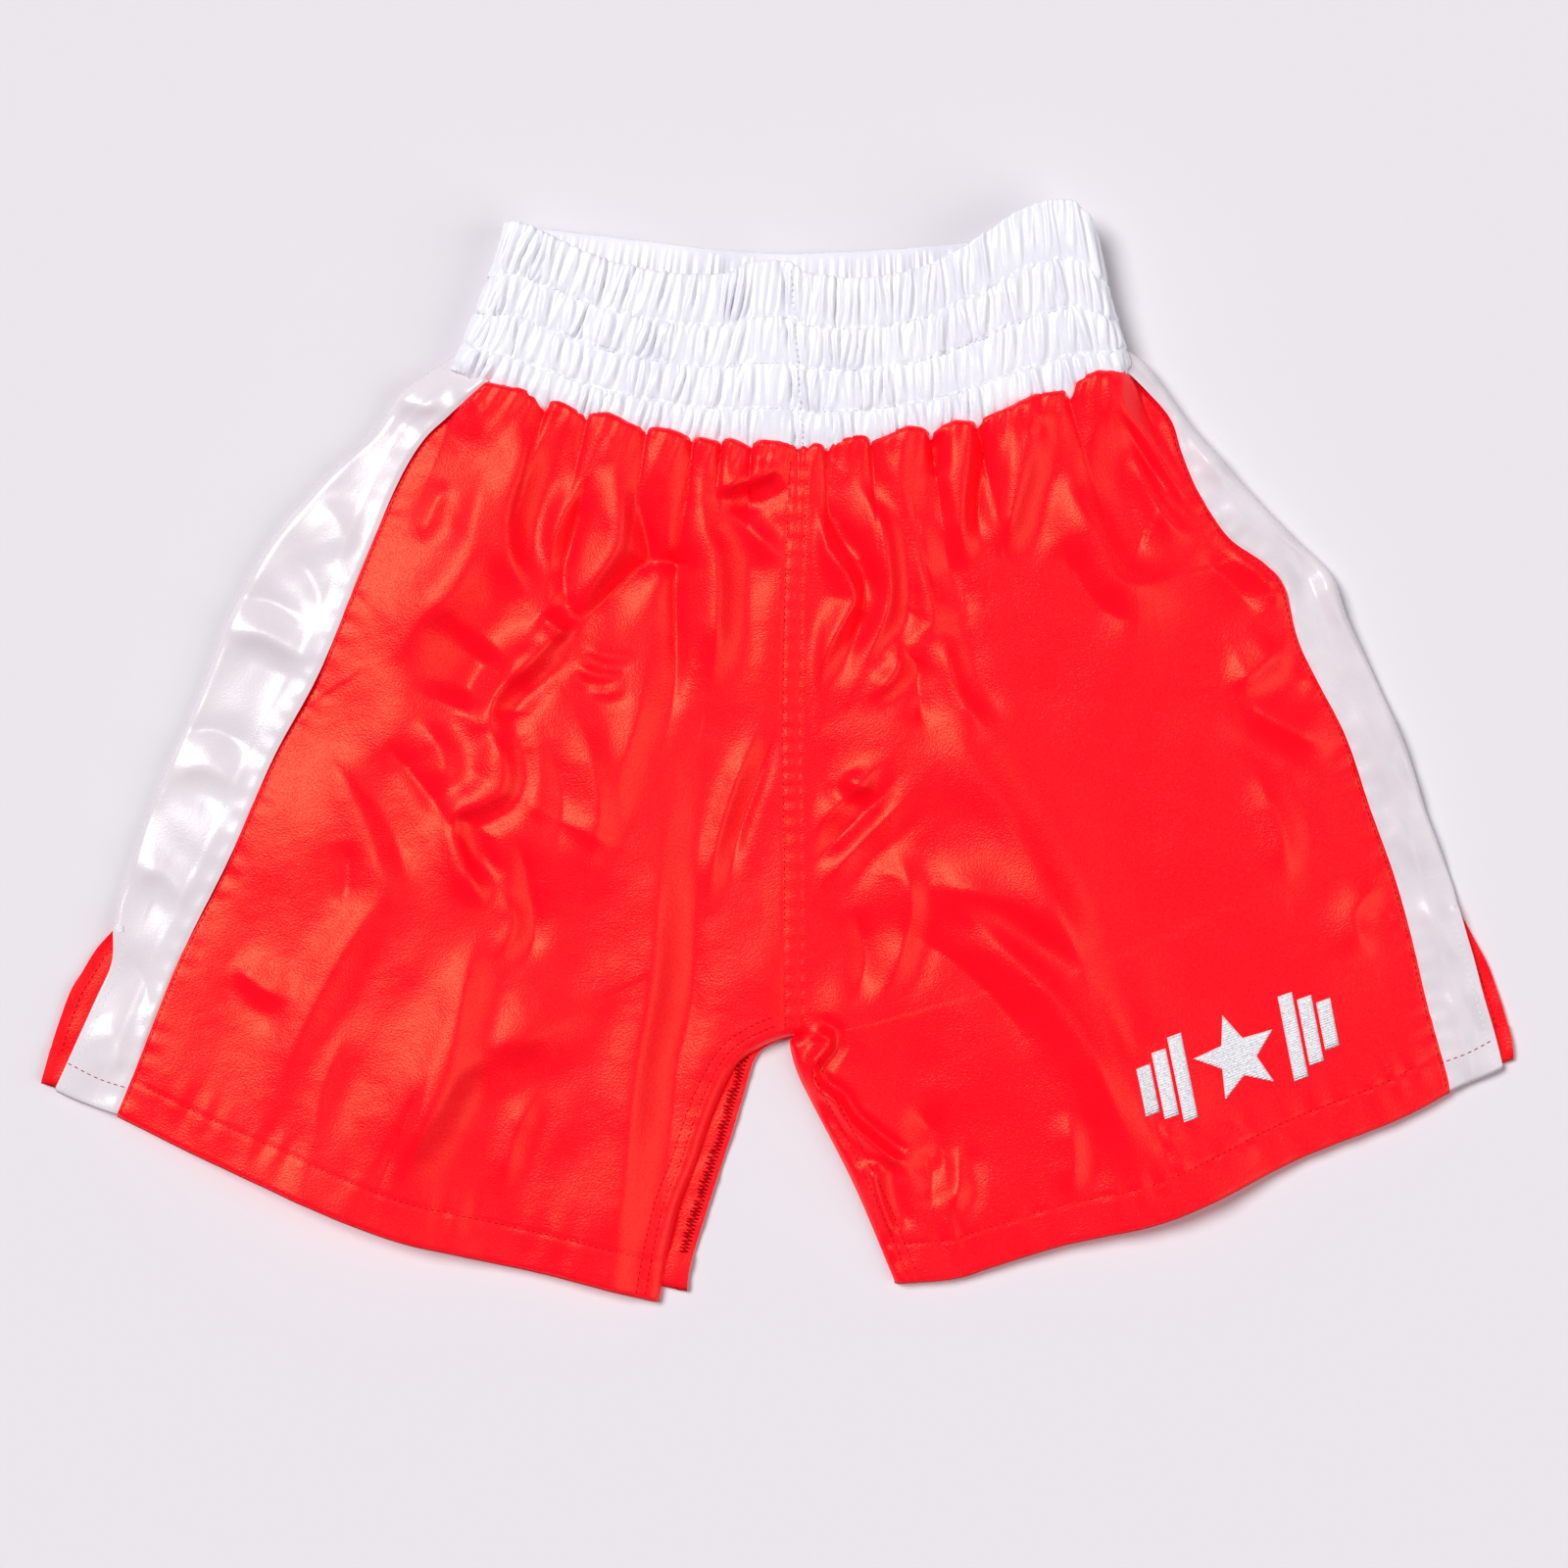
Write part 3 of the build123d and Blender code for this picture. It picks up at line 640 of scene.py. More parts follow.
def stitch_mesh(name, lines, nodes, slot, material, length, gap, width, height):
    """Stitches along lines of x, y, z points, each one a short rounded thread."""
    ends = []
    for line in lines:
        run = np.concatenate([[0], np.cumsum(np.linalg.norm(np.diff(line, axis=0), axis=1))])
        count = max(1, int(run[-1] / (length + gap)))
        for start in np.linspace(0, run[-1] - length, count):
            ends.append([Vector([np.interp(at, run, line[:, k]) for k in range(3)])
                         for at in (start, start + length)])
    return thread_mesh(name, ends, nodes, slot, material, width, height)


def thread_mesh(name, ends, nodes, slot, material, width, height):
    """One piece of many short threads, each given by its two ends."""
    whole = bmesh.new()
    for first in range(0, len(ends), 40):  # a few at a time, because a large mesh slows each new thread
        bm = bmesh.new()
        for a, b in ends[first:first + 40]:
            add_thread(bm, a, b, width, height)
        part = bpy.data.meshes.new("part")
        bm.to_mesh(part)
        bm.free()
        whole.from_mesh(part)
        bpy.data.meshes.remove(part)
    mesh = bpy.data.meshes.new(name)
    whole.to_mesh(mesh)
    whole.free()
    mesh.shade_smooth()
    return finish_piece(bpy.data.objects.new(name, mesh), nodes, slot, material)


def add_thread(bm, a, b, width, height):
    """One stitch between two points, in millimetres."""
    direction = (b - a).normalized()
    sideways = Vector((0, 0, 1)).cross(direction)
    if sideways.length < 1e-4:
        sideways = Vector((1, 0, 0))
    sideways.normalize()
    upward = direction.cross(sideways)
    turn = Matrix((direction, sideways, upward)).transposed().to_4x4()
    size = Matrix.Diagonal(((b - a).length / 2, width / 2, height / 2, 1))
    place = Matrix.Scale(MM, 4) @ Matrix.Translation((a + b) / 2) @ turn @ size
    bmesh.ops.create_uvsphere(bm, u_segments=6, v_segments=4, radius=1.0, matrix=place)


# Materials.

PLAIN = (1, 1, 1, 1)  # a shine with no tint
TWIST_MM = 0.45


def tone(code):
    """An sRGB hex colour as linear red, green, blue and alpha."""
    parts = [int(code[i:i + 2], 16) / 255 for i in (1, 3, 5)]
    return [c / 12.92 if c <= 0.04045 else ((c + 0.055) / 1.055) ** 2.4 for c in parts] + [1.0]


def add_node(material, kind, settings=(), links=()):
    """A node with its settings; a link is (input, node, output)."""
    node = material.node_tree.nodes.new(kind)
    for key, value in dict(settings).items():
        if isinstance(key, str) and hasattr(node, key):
            setattr(node, key, value)
        else:
            node.inputs[key].default_value = value
    for key, other, output in links:
        material.node_tree.links.new(other.outputs[output], node.inputs[key])
    return node


def new_material(name):
    material = bpy.data.materials.get(name) or bpy.data.materials.new(name)
    material.use_nodes = True
    material.node_tree.nodes.clear()
    return material


def grained(m, shade, relief, stops, bump, settings):
    """A colour ramp and a relief, each driven by (node, output), on a shader with the given settings."""
    colour = add_node(m, "ShaderNodeValToRGB", (), [("Fac", *shade)])
    for element, (position, code) in zip(colour.color_ramp.elements, stops):
        element.position = position
        element.color = tone(code)
    strength, distance = bump
    raised = add_node(m, "ShaderNodeBump", {"Strength": strength, "Distance": distance},
                      [("Height", *relief)])
    shader = add_node(m, "ShaderNodeBsdfPrincipled", settings,
                      [("Base Color", colour, "Color"), ("Normal", raised, "Normal")])
    add_node(m, "ShaderNodeOutputMaterial", (), [("Surface", shader, "BSDF")])
    return m


def satin(name, base, deep, tint, roughness, thread_mm, bump, patchy, glow="#000000"):
    """Polyester satin: long floats of filament lying one way give a broad soft gloss across them.

    Filaments of about 0.1 mm are drawn thread_mm wide, as fine as the render shows.
    """
    m = new_material(name)
    at = add_node(m, "ShaderNodeTexCoord")
    weave_uv = add_node(m, "ShaderNodeUVMap", {"uv_map": "cloth"})
    cloud = add_node(m, "ShaderNodeTexNoise", {"Scale": 26.0, "Detail": 3.0, "Roughness": 0.55},
                     [("Vector", at, "Object")])
    slub = add_node(m, "ShaderNodeMapping", {"Scale": (0.4 / thread_mm / MM, 1.0 / thread_mm / MM, 1.0)},
                    [("Vector", weave_uv, "UV")])
    floats = add_node(m, "ShaderNodeTexNoise", {"Scale": 1.0, "Detail": 2.0, "Roughness": 0.6},
                      [("Vector", slub, "Vector")])
    crimp = add_node(m, "ShaderNodeTexNoise", {"Scale": 900.0, "Detail": 1.0}, [("Vector", at, "Object")])
    shade = add_node(m, "ShaderNodeMapRange",
                     {"From Min": 0.3, "From Max": 0.7, "To Min": 0.0, "To Max": patchy},
                     [("Value", cloud, "Fac")])
    thread_shade = add_node(m, "ShaderNodeMapRange",
                            {"From Min": 0.25, "From Max": 0.75, "To Min": 0.0, "To Max": 0.22},
                            [("Value", floats, "Fac")])
    amount = add_node(m, "ShaderNodeMath", {"operation": "ADD"},
                      [(0, shade, "Result"), (1, thread_shade, "Result")])
    colour = add_node(m, "ShaderNodeMix", {"data_type": "RGBA"}, [("Factor", amount, 0)])
    for socket in colour.inputs:
        if socket.type == "RGBA":
            socket.default_value = tone(base) if socket.identifier.startswith("A") else tone(deep)
    rough = add_node(m, "ShaderNodeMapRange",
                     {"From Min": 0.2, "From Max": 0.8,
                      "To Min": roughness - 0.05, "To Max": roughness + 0.06},
                     [("Value", floats, "Fac")])
    both = add_node(m, "ShaderNodeMath", {"operation": "ADD"}, [(0, floats, "Fac"), (1, crimp, "Fac")])
    relief = add_node(m, "ShaderNodeBump", {"Strength": bump, "Distance": 0.0003}, [("Height", both, 0)])
    tangent = add_node(m, "ShaderNodeTangent", {"direction_type": "UV_MAP", "uv_map": "cloth"})
    # A glow colour, where one is given, is painted light: an emission on cloth that is no lamp.
    shader = add_node(m, "ShaderNodeBsdfPrincipled",
                      {"IOR": 1.5, "Anisotropic": 0.45, "Specular Tint": tint,
                       "Emission Color": tone(glow), "Emission Strength": 1.0},
                      [("Roughness", rough, "Result"), ("Normal", relief, "Normal"),
                       ("Tangent", tangent, "Tangent")])
    result = [s for s in colour.outputs if s.type == "RGBA"][0]
    m.node_tree.links.new(result, shader.inputs["Base Color"])
    add_node(m, "ShaderNodeOutputMaterial", (), [("Surface", shader, "BSDF")])
    return m


def thread(name, base, deep, tint=PLAIN):
    """Polyester sewing thread: twisted filament with fine slanting grooves, its colour painted darker in the
    grooves and lighter on its crown.
    """
    m = new_material(name)
    at = add_node(m, "ShaderNodeTexCoord")
    # The twist is drawn coarser than it is, as fine as the render shows.
    twist = add_node(m, "ShaderNodeTexWave",
                     {"Scale": 0.3 / TWIST_MM / MM, "Distortion": 3.0, "Detail": 2.0,
                      "bands_direction": "DIAGONAL"},
                     [("Vector", at, "Object")])
    speck = add_node(m, "ShaderNodeTexNoise", {"Scale": 1400.0, "Detail": 1.0}, [("Vector", at, "Object")])
    mixed = add_node(m, "ShaderNodeMath", {"operation": "MULTIPLY"}, [(0, twist, "Fac"), (1, speck, "Fac")])
    # The colour follows the relief: painted shade in the grooves, painted highlight on the crown.
    return grained(m, (mixed, 0), (mixed, 0), ((0, deep), (0.45, base)), (0.6, 0.0003),
                   {"Roughness": 0.6, "Specular IOR Level": 0.25, "Specular Tint": tint})


def red_satin():
    """Woven polyester satin of the body.

    Its faint glow is painted light, not the cloth's own: it keeps the shaded folds from turning brown.
    """
    look = bpy.context.scene.shorts_looks
    return satin("red_polyester_satin", look.red, "#F6041A", (1.0, 0.52, 0.24, 1.0), 0.345, 0.75, 0.6, 0.30,
                 glow="#6A0004")


def white_satin():
    """Woven polyester satin of the band."""
    look = bpy.context.scene.shorts_looks
    return satin("white_polyester_satin", look.white, "#E0DEED", PLAIN, 0.25, 0.8, 0.2, 0.45)


def shaded_stripe_satin():
    """The band's white satin, made dimmer and pinker on the stripes: painted shade."""
    look = bpy.context.scene.shorts_looks
    return satin("white_polyester_satin_stripe_shaded", look.stripe, "#D3C8D0", PLAIN, 0.27, 0.8, 0.2, 0.45)


def red_thread():
    """Spun polyester thread of the body's seams."""
    look = bpy.context.scene.shorts_looks
    return thread("red_polyester_thread", look.red_thread, "#96000B", (1.0, 0.3, 0.2, 1.0))


def white_thread():
    """Spun polyester thread of the band's seams."""
    look = bpy.context.scene.shorts_looks
    return thread("white_polyester_thread", look.white_thread, "#E9E7F0")


def elastic():
    """Knitted elastic: rubber cores 1.2 mm apart under a knitted cover."""
    m = new_material("knitted_elastic")
    at = add_node(m, "ShaderNodeTexCoord")
    cores = add_node(m, "ShaderNodeTexWave", {"Scale": 260.0, "bands_direction": "Y", "Distortion": 0.4},
                     [("Vector", at, "Object")])
    # The colour follows the relief: the cover is painted darker in the grooves between the cores, painted
    # shade.
    return grained(m, (cores, "Fac"), (cores, "Fac"), ((0, "#CFCBD2"), (1, "#F2F0F4")), (0.6, 0.0004),
                   {"Roughness": 0.85})


def stabiliser():
    """Nonwoven cut-away stabiliser: short fibres pressed into a felt."""
    m = new_material("nonwoven_stabiliser")
    at = add_node(m, "ShaderNodeTexCoord")
    fibres = add_node(m, "ShaderNodeTexNoise", {"Scale": 700.0, "Detail": 4.0}, [("Vector", at, "Object")])
    return grained(m, (fibres, "Fac"), (fibres, "Fac"), ((0, "#D9D7DA"), (1, "#F4F3F5")), (0.5, 0.0003),
                   {"Roughness": 0.95})


def embroidery():
    """Rayon embroidery thread in satin stitch: rows of fine slanting threads with a soft sheen."""
    m = new_material("rayon_embroidery_thread")
    at = add_node(m, "ShaderNodeTexCoord")
    turn = add_node(m, "ShaderNodeMapping", {"Rotation": (0, 0, -MOTIF_TURN)}, [("Vector", at, "Object")])
    # Threads 0.4 mm apart are drawn 1.3 mm apart, as fine as the render shows.
    rows = add_node(m, "ShaderNodeTexWave",
                    {"Scale": 240.0, "Distortion": 2.5, "Detail": 3.0, "Detail Scale": 2.0,
                     "bands_direction": "Y"},
                    [("Vector", turn, "Vector")])
    speck = add_node(m, "ShaderNodeTexNoise", {"Scale": 900.0, "Detail": 2.0}, [("Vector", turn, "Vector")])
    mixed = add_node(m, "ShaderNodeMath", {"operation": "ADD"}, [(0, rows, "Fac"), (1, speck, "Fac")])
    light = bpy.context.scene.shorts_looks.white_thread
    return grained(m, (speck, "Fac"), (mixed, 0), ((0.34, "#DDD6E2"), (0.52, light)), (0.8, 0.0005),
                   {"Roughness": 0.45})


# Sizes and colours a user may change.

class ShortsSizes(bpy.types.PropertyGroup):
    """Sizes of the sewing and the ruching."""

    rib_spacing: bpy.props.FloatProperty(
        name="Ruching spacing", description="Distance between two ribs of the ruched band",
        default=0.0052, min=0.003, unit="LENGTH")
    rib_height: bpy.props.FloatProperty(
        name="Ruching height", description="Height of a rib of the ruched band",
        default=0.0026, min=0.0005, unit="LENGTH")
    stitch_length: bpy.props.FloatProperty(
        name="Stitch length", description="Length of one stitch of the seams",
        default=0.0027, min=0.001, unit="LENGTH")
    thread_width: bpy.props.FloatProperty(
        name="Thread width", description="Width of the sewing thread",
        default=0.0006, min=0.0002, unit="LENGTH")
    hem_depth: bpy.props.FloatProperty(
        name="Hem depth", description="Depth of the turned-up hem",
        default=0.021, min=0.008, unit="LENGTH")


class ShortsLooks(bpy.types.PropertyGroup):
    """Colours, as sRGB hex."""

    red: bpy.props.StringProperty(name="Red satin", description="Colour of the body", default="#FF0824")
    white: bpy.props.StringProperty(
        name="White satin", description="Colour of the band and stripes", default="#F7F5FC")
    # The stripes' colour is the band's satin made dimmer and pinker: painted shade.
    stripe: bpy.props.StringProperty(
        name="Stripe satin", description="Colour of the side stripes", default="#EAE1E7")
    red_thread: bpy.props.StringProperty(
        name="Red thread", description="Colour of the body's stitching", default="#BC0010")
    white_thread: bpy.props.StringProperty(
        name="White thread", description="Colour of the band's stitching and the motif", default="#FBFAFF")
    floor: bpy.props.StringProperty(name="Floor", description="Colour of the floor", default="#E6E1E7")


# Operators, in the order in which they run.

def add_sun(name, towards, strength, angle):
    """A wide, even softbox, far away in that direction."""
    light = bpy.data.lights.new(name, "SUN")
    light.energy = strength
    light.angle = math.radians(angle)
    obj = bpy.data.objects.new(name, light)
    obj.rotation_mode = "QUATERNION"
    obj.rotation_quaternion = Vector(towards).to_track_quat("Z", "Y")
    bpy.context.scene.collection.objects.link(obj)


class SHORTS_OT_stage(bpy.types.Operator):
    """Pale floor, soft studio light and the camera straight above"""

    bl_idname = "shorts.stage"
    bl_label = "Stage"

    def execute(self, context):
        scene = context.scene
        low, high = CAD_BOX
        centre = (low + high) / 2
        bm = bmesh.new()
        bmesh.ops.create_grid(bm, x_segments=1, y_segments=1, size=60.0,
                              matrix=Matrix.Translation((0, 0, low.z - 0.0004)))
        mesh = bpy.data.meshes.new("floor")
        bm.to_mesh(mesh)
        bm.free()
        floor = bpy.data.objects.new("floor", mesh)
        m = new_material("matt_paper")  # seamless studio paper
        at = add_node(m, "ShaderNodeTexCoord")
        grain = add_node(m, "ShaderNodeTexNoise", {"Scale": 500.0}, [("Vector", at, "Object")])
        relief = add_node(m, "ShaderNodeBump", {"Strength": 0.02, "Distance": 0.0002},
                          [("Height", grain, "Fac")])
        shader = add_node(m, "ShaderNodeBsdfPrincipled",
                          {"Base Color": tone(scene.shorts_looks.floor), "Roughness": 1.0,
                           "Specular IOR Level": 0.0},
                          [("Normal", relief, "Normal")])
        add_node(m, "ShaderNodeOutputMaterial", (), [("Surface", shader, "BSDF")])
        mesh.materials.append(m)
        scene.collection.objects.link(floor)

        world = bpy.data.worlds.new("studio")
        world.use_nodes = True
        sky = world.node_tree.nodes["Background"]
        sky.inputs["Color"].default_value = (1, 1, 1, 1)
        sky.inputs["Strength"].default_value = 0.07
        scene.world = world
        add_sun("softbox_left", (-0.48, 0.33, 0.81), 2.90, 27)
        add_sun("softbox_right", (0.75, -0.25, 0.61), 1.22, 50)

        camera = bpy.data.cameras.new("camera")
        camera.sensor_width = 36.0
        camera.lens = 85.0
        view_width = 0.848  # what the frame takes in at the object's height
        distance = view_width * camera.lens / camera.sensor_width
        holder = bpy.data.objects.new("camera", camera)
        holder.location = (centre.x + 0.0037, centre.y - 0.0154, 0.012 + distance)
        scene.collection.objects.link(holder)
        scene.camera = holder
        scene.view_settings.view_transform = "Standard"
        return {"FINISHED"}


class SHORTS_OT_front_panels(bpy.types.Operator):
    """Red front panels with their folds, gathers and turned hems"""

    bl_idname = "shorts.front_panels"
    bl_label = "Front panels"

    def execute(self, context):
        depth = context.scene.shorts_sizes.hem_depth / MM
        turn_share = 0.035
        for leg in (Leg(data) for data in LEGS):
            west, east, length = sides(leg, leg.seam, leg.inner)
            top, puffs = self.top_edge(leg, west[-1], east[-1])

            def shape(u, v, leg=leg, west=west, east=east, top=top, length=length, puffs=puffs):
                run = turned_rows(v, length, depth, turn_share)
                over = np.abs(run) / length
                to_top = (1 - over) * length
                x, y = patch(west, east, leg.hem, top, u, over).T
                y = y + np.interp(x, top[:, 0], puffs) * ease(1 - to_top / 24)
                # The turned part lies under the cloth, and the fold between them is round.
                z = leg.front(x, y) - HEM_DROP * ease((1.5 - run) / 3.0)
                y = y - 1.1 * bell(run, 1.4)
                curl = np.clip(1 - to_top / 4.0, 0, 1)
                z -= np.maximum(z - BAND_FRONT_Z, 0) * (1 - np.sqrt(1 - curl**2))
                return np.stack([x, y, z], axis=1)

            node = f"front_panel_{leg.name}"
            obj = grid_sheet(f"front_panel_{leg.name}_cloth", 232, 310, shape, [node], "red_satin",
                             red_satin(), (330, 420))
        return {"FINISHED"}

    def top_edge(self, leg, start, end):
        """The smooth line of the panel's top, and how far the gathered puffs rise above it."""
        x = np.linspace(start[0], end[0], 240)
        rise, width = puff(x)
        arch = band_seam_y(x) + TOP_LAP + (2.0 + 0.12 * width) * rise**0.65
        in_dome = (x > leg.dome[0, 0]) & (x < leg.dome[-1, 0])
        arch = np.where(in_dome, np.interp(x, leg.dome[:, 0], leg.dome[:, 1]), arch)
        arch += 0.8 * waves(x, 0 * x, 3, 16)
        far, near = (ease((x - x[0]) / reach) * ease((x[-1] - x) / reach) for reach in (40, 4))
        straight = np.interp(x, [x[0], x[-1]], [start[1], end[1]])
        even = straight * (1 - far) + (band_seam_y(x) + TOP_LAP) * far
        return np.stack([x, even], axis=1), (arch - even) * near


class SHORTS_OT_side_stripes(bpy.types.Operator):
    """White side stripes, turned under along the side and open at the slits"""

    bl_idname = "shorts.side_stripes"
    bl_label = "Side stripes"

    def execute(self, context):
        depth = context.scene.shorts_sizes.hem_depth / MM
        turn_share = 0.05
        # Shares of the stripe's width: its top up to the first, its round edge up to the second, its back.
        top_part, round_part = 0.72, 0.88
        for leg in (Leg(data) for data in LEGS):
            seam_up, edge_up = leg.seam[::-1], leg.edge[::-1]
            length = len(seam_up) * SPACING
            slit_share = len(leg.slit) / len(leg.edge)

            def shape(u, v, leg=leg, length=length, slit_share=slit_share, seam_up=seam_up, edge_up=edge_up):
                share = u if leg.side > 0 else 1 - u
                run = turned_rows(v, length, depth, turn_share)
                over = np.abs(run) / length
                inside, outside = along(seam_up, over), along(edge_up, over)
                bow = along(leg.stripe_hem if leg.side > 0 else leg.stripe_hem[::-1], share)
                straight = (1 - share[:, None]) * seam_up[0] + share[:, None] * edge_up[0]
                fade = np.exp(-over * length / 18)[:, None]
                reach = outside - inside
                wide = np.linalg.norm(reach, axis=1)
                way = reach / wide[:, None]
                slit = ease((slit_share - over) / 0.02 + 0.5)
                edge_z = leg.stripe(*(inside + way * (wide - 4)[:, None]).T)
                radius = (1 - slit) * np.clip((edge_z - 0.8) / 2, 1.0, 8.0) + slit * 0.9
                flat_run = np.clip(share / top_part, 0, 1) * (wide - radius)
                angle = np.clip((share - top_part) / (round_part - top_part), 0, 1) * math.pi
                back_run = np.clip((share - round_part) / (1 - round_part), 0, 1) * 10.0
                q = flat_run + radius * np.sin(angle) - back_run
                plan = inside + way * q[:, None] + (bow - straight) * fade * (share < top_part)[:, None]
                held = inside + way * flat_run[:, None]
                z = leg.stripe(*held.T)
                rim = leg.stripe(*(inside + way * (wide - radius)[:, None]).T)
                z = np.where(share <= top_part, z, rim) - radius * (1 - np.cos(angle))
                z = np.maximum(z, 0.8)
                z = np.where(run < 1.5, z - STRIPE_HEM_DROP * ease((1.5 - run) / 3.0) * slit, z)
                return np.stack([plan[:, 0], plan[:, 1], z], axis=1)

            node = f"side_stripe_{leg.name}"
            obj = grid_sheet(f"side_stripe_{leg.name}_cloth", 56, 300, shape, [node], "white_satin",
                             shaded_stripe_satin(), (60, 430))
        return {"FINISHED"}


class SHORTS_OT_back_panels(bpy.types.Operator):
    """Red back panels lying on the table under the front"""

    bl_idname = "shorts.back_panels"
    bl_label = "Back panels"

    def execute(self, context):
        turn_share = 0.04
        for leg in (Leg(data) for data in LEGS):
            west, east, length = sides(leg, leg.back_edge, leg.back_inner)
            across = np.linspace(0, 1, 60)
            top = west[-1] + across[:, None] * (east[-1] - west[-1])
            top[:, 1] -= 14 * across * (1 - np.abs(2 * across - 1))

            def shape(u, v, leg=leg, west=west, east=east, top=top, length=length):
                run = turned_rows(v, length, 20.0, turn_share)
                x, y = patch(west, east, leg.back_hem, top, u, np.abs(run) / length).T
                share = 1 - u if leg.side < 0 else u
                above_slit = ease((y - leg.slit[0][1]) / 12)
                z = leg.back(x, y) + 1.2 * ease((1.5 - run) / 3.0)
                x = x - leg.side * 8.0 * above_slit * ease((share - 0.8) / 0.2)
                return np.stack([x, y, z], axis=1)

            node = f"back_panel_{leg.name}"
            obj = grid_sheet(f"back_panel_{leg.name}_cloth", 120, 150, shape, [node], "red_satin",
                             red_satin(), (360, 420), turn=True)
        return {"FINISHED"}


def ribs(run, t, seed, spacing):
    """Lens-shaped ribs of a ruched channel at a run round the band and a share t of the channel's height."""
    random = np.random.default_rng(seed)
    edges = np.cumsum(spacing * random.uniform(0.62, 1.5, 400)) - random.uniform(0, 30)
    slants = random.uniform(-3.2, 3.2, 401)
    heights = random.uniform(0.3, 1.3, 401)
    at = np.interp(run, edges, np.arange(400))
    index = np.clip(at.astype(int), 0, 400)
    at = np.interp(run + slants[index] * (t - 0.5) * 1.1, edges, np.arange(400))
    index = np.clip(at.astype(int), 0, 400)
    share = at - np.floor(at)
    lens = np.sin(math.pi * np.clip(share, 0, 1)) ** 1.3
    return lens * heights[index]


class Band:
    """The ruched waistband: a flattened ring, given by a share of its loop and a share of its height."""

    def __init__(self, sizes):
        self.spacing = sizes.rib_spacing / MM
        self.height = sizes.rib_height / MM
        self.front_top = smooth_line(FRONT_TOP)
        self.back_top = smooth_line(BACK_TOP)

    def ring(self, loop, share, inset=0.0):
        """x, y, z, outward x and outward z on the band's smooth surface, and the run round it."""
        left = np.interp(share, [0, 1], BAND_LEFT)
        right = np.interp(share, [0, 1], BAND_RIGHT)
        centre, half = (left + right) / 2, (right - left) / 2
        radius = BAND_RADIUS
        straight = 2 * (half - radius)
        turn = math.pi * radius
        p = (loop % 1.0) * (2 * straight + 2 * turn)
        angle = np.clip((p - straight) / radius, 0, math.pi)
        angle = angle + np.clip((p - 2 * straight - turn) / radius, 0, math.pi)
        nx, nz = np.sin(angle), np.cos(angle)
        core_x = np.clip(p, 0, straight) - straight / 2 - np.clip(p - straight - turn, 0, straight)
        x = centre + core_x + (radius - inset) * nx
        z = BAND_MIDDLE_Z + (radius - inset) * nz
        p = (loop % 1.0) * BAND_LOOP
        behind = (1 - nz) / 2
        top = (1 - behind) * np.interp(x, self.front_top[:, 0], self.front_top[:, 1])
        top = top + behind * np.interp(x, self.back_top[:, 0], self.back_top[:, 1])
        low = band_seam_y(np.clip(x, -180, 196))
        y = low + share * (top - low)
        return x, y, z, nx, nz, p

    def outside(self, loop, share):
        """A point on the ruched outer face."""
        x, y, z, nx, nz, p = self.ring(loop, share)
        lift = np.zeros(x.shape)
        sway = np.zeros(x.shape)
        for i, (low, high) in enumerate(zip(CHANNEL_SHARES, CHANNEL_SHARES[1:])):
            inside = (share >= low - (0.1 if i == 0 else 0)) & (share <= high + (0.1 if i == 3 else 0))
            t = np.clip((share - low) / (high - low), 0, 1)
            swell = np.sin(math.pi * t)
            swell = np.maximum(swell, 0.35 * (t > 0.5)) if i == 3 else swell
            wide = ribs(p, t, 40 + i, self.spacing)
            fine = ribs(p, t, 60 + i, self.spacing * 0.62)
            body = 0.25 + 0.75 * swell**0.5
            rib = body * (wide + 0.3 * fine) + 0.5 * (1 - body) * fine
            # The cloth swells between two rows of stitches and is pulled in at them.
            lift = np.where(inside, self.height * rib + 0.3 * swell**0.6 - 0.5 * (1 - body), lift)
            sway = np.where(inside, 1.7 * np.sin(p / 3.1 + i * 2 + 7 * t) * (1 - body), sway)
        join_x = JOIN_BOTTOM_X + (JOIN_TOP_X - JOIN_BOTTOM_X) * share
        # The join: a flat double strip beside a groove, on the front only.
        from_join = np.where(nz > 0.5, x - join_x, 1e3)
        flat = np.exp(-((from_join + 9.5) / 9.5) ** 6)
        lift = lift * (1 - 0.6 * flat) + 1.3 * flat
        lift -= 2.0 * bell(from_join - 1, 1.0)
        # Flatter against the table and round the sides.
        lift *= np.where(nz < -0.3, 0.55, 1.0) * (1 - 0.68 * np.abs(nx))
        # The seam allowance goes in under the body's gathers.
        lift -= 7.0 * ease(-share / 0.05) + 1.8 * bell(share, 0.06)
        scallop = 1.1 * ease((share - 0.93) / 0.07) * ribs(p, 1.0, 43, self.spacing)
        return np.stack([x + nx * lift + sway, y + scallop, np.maximum(z + nz * lift, TABLE_Z)], axis=-1)


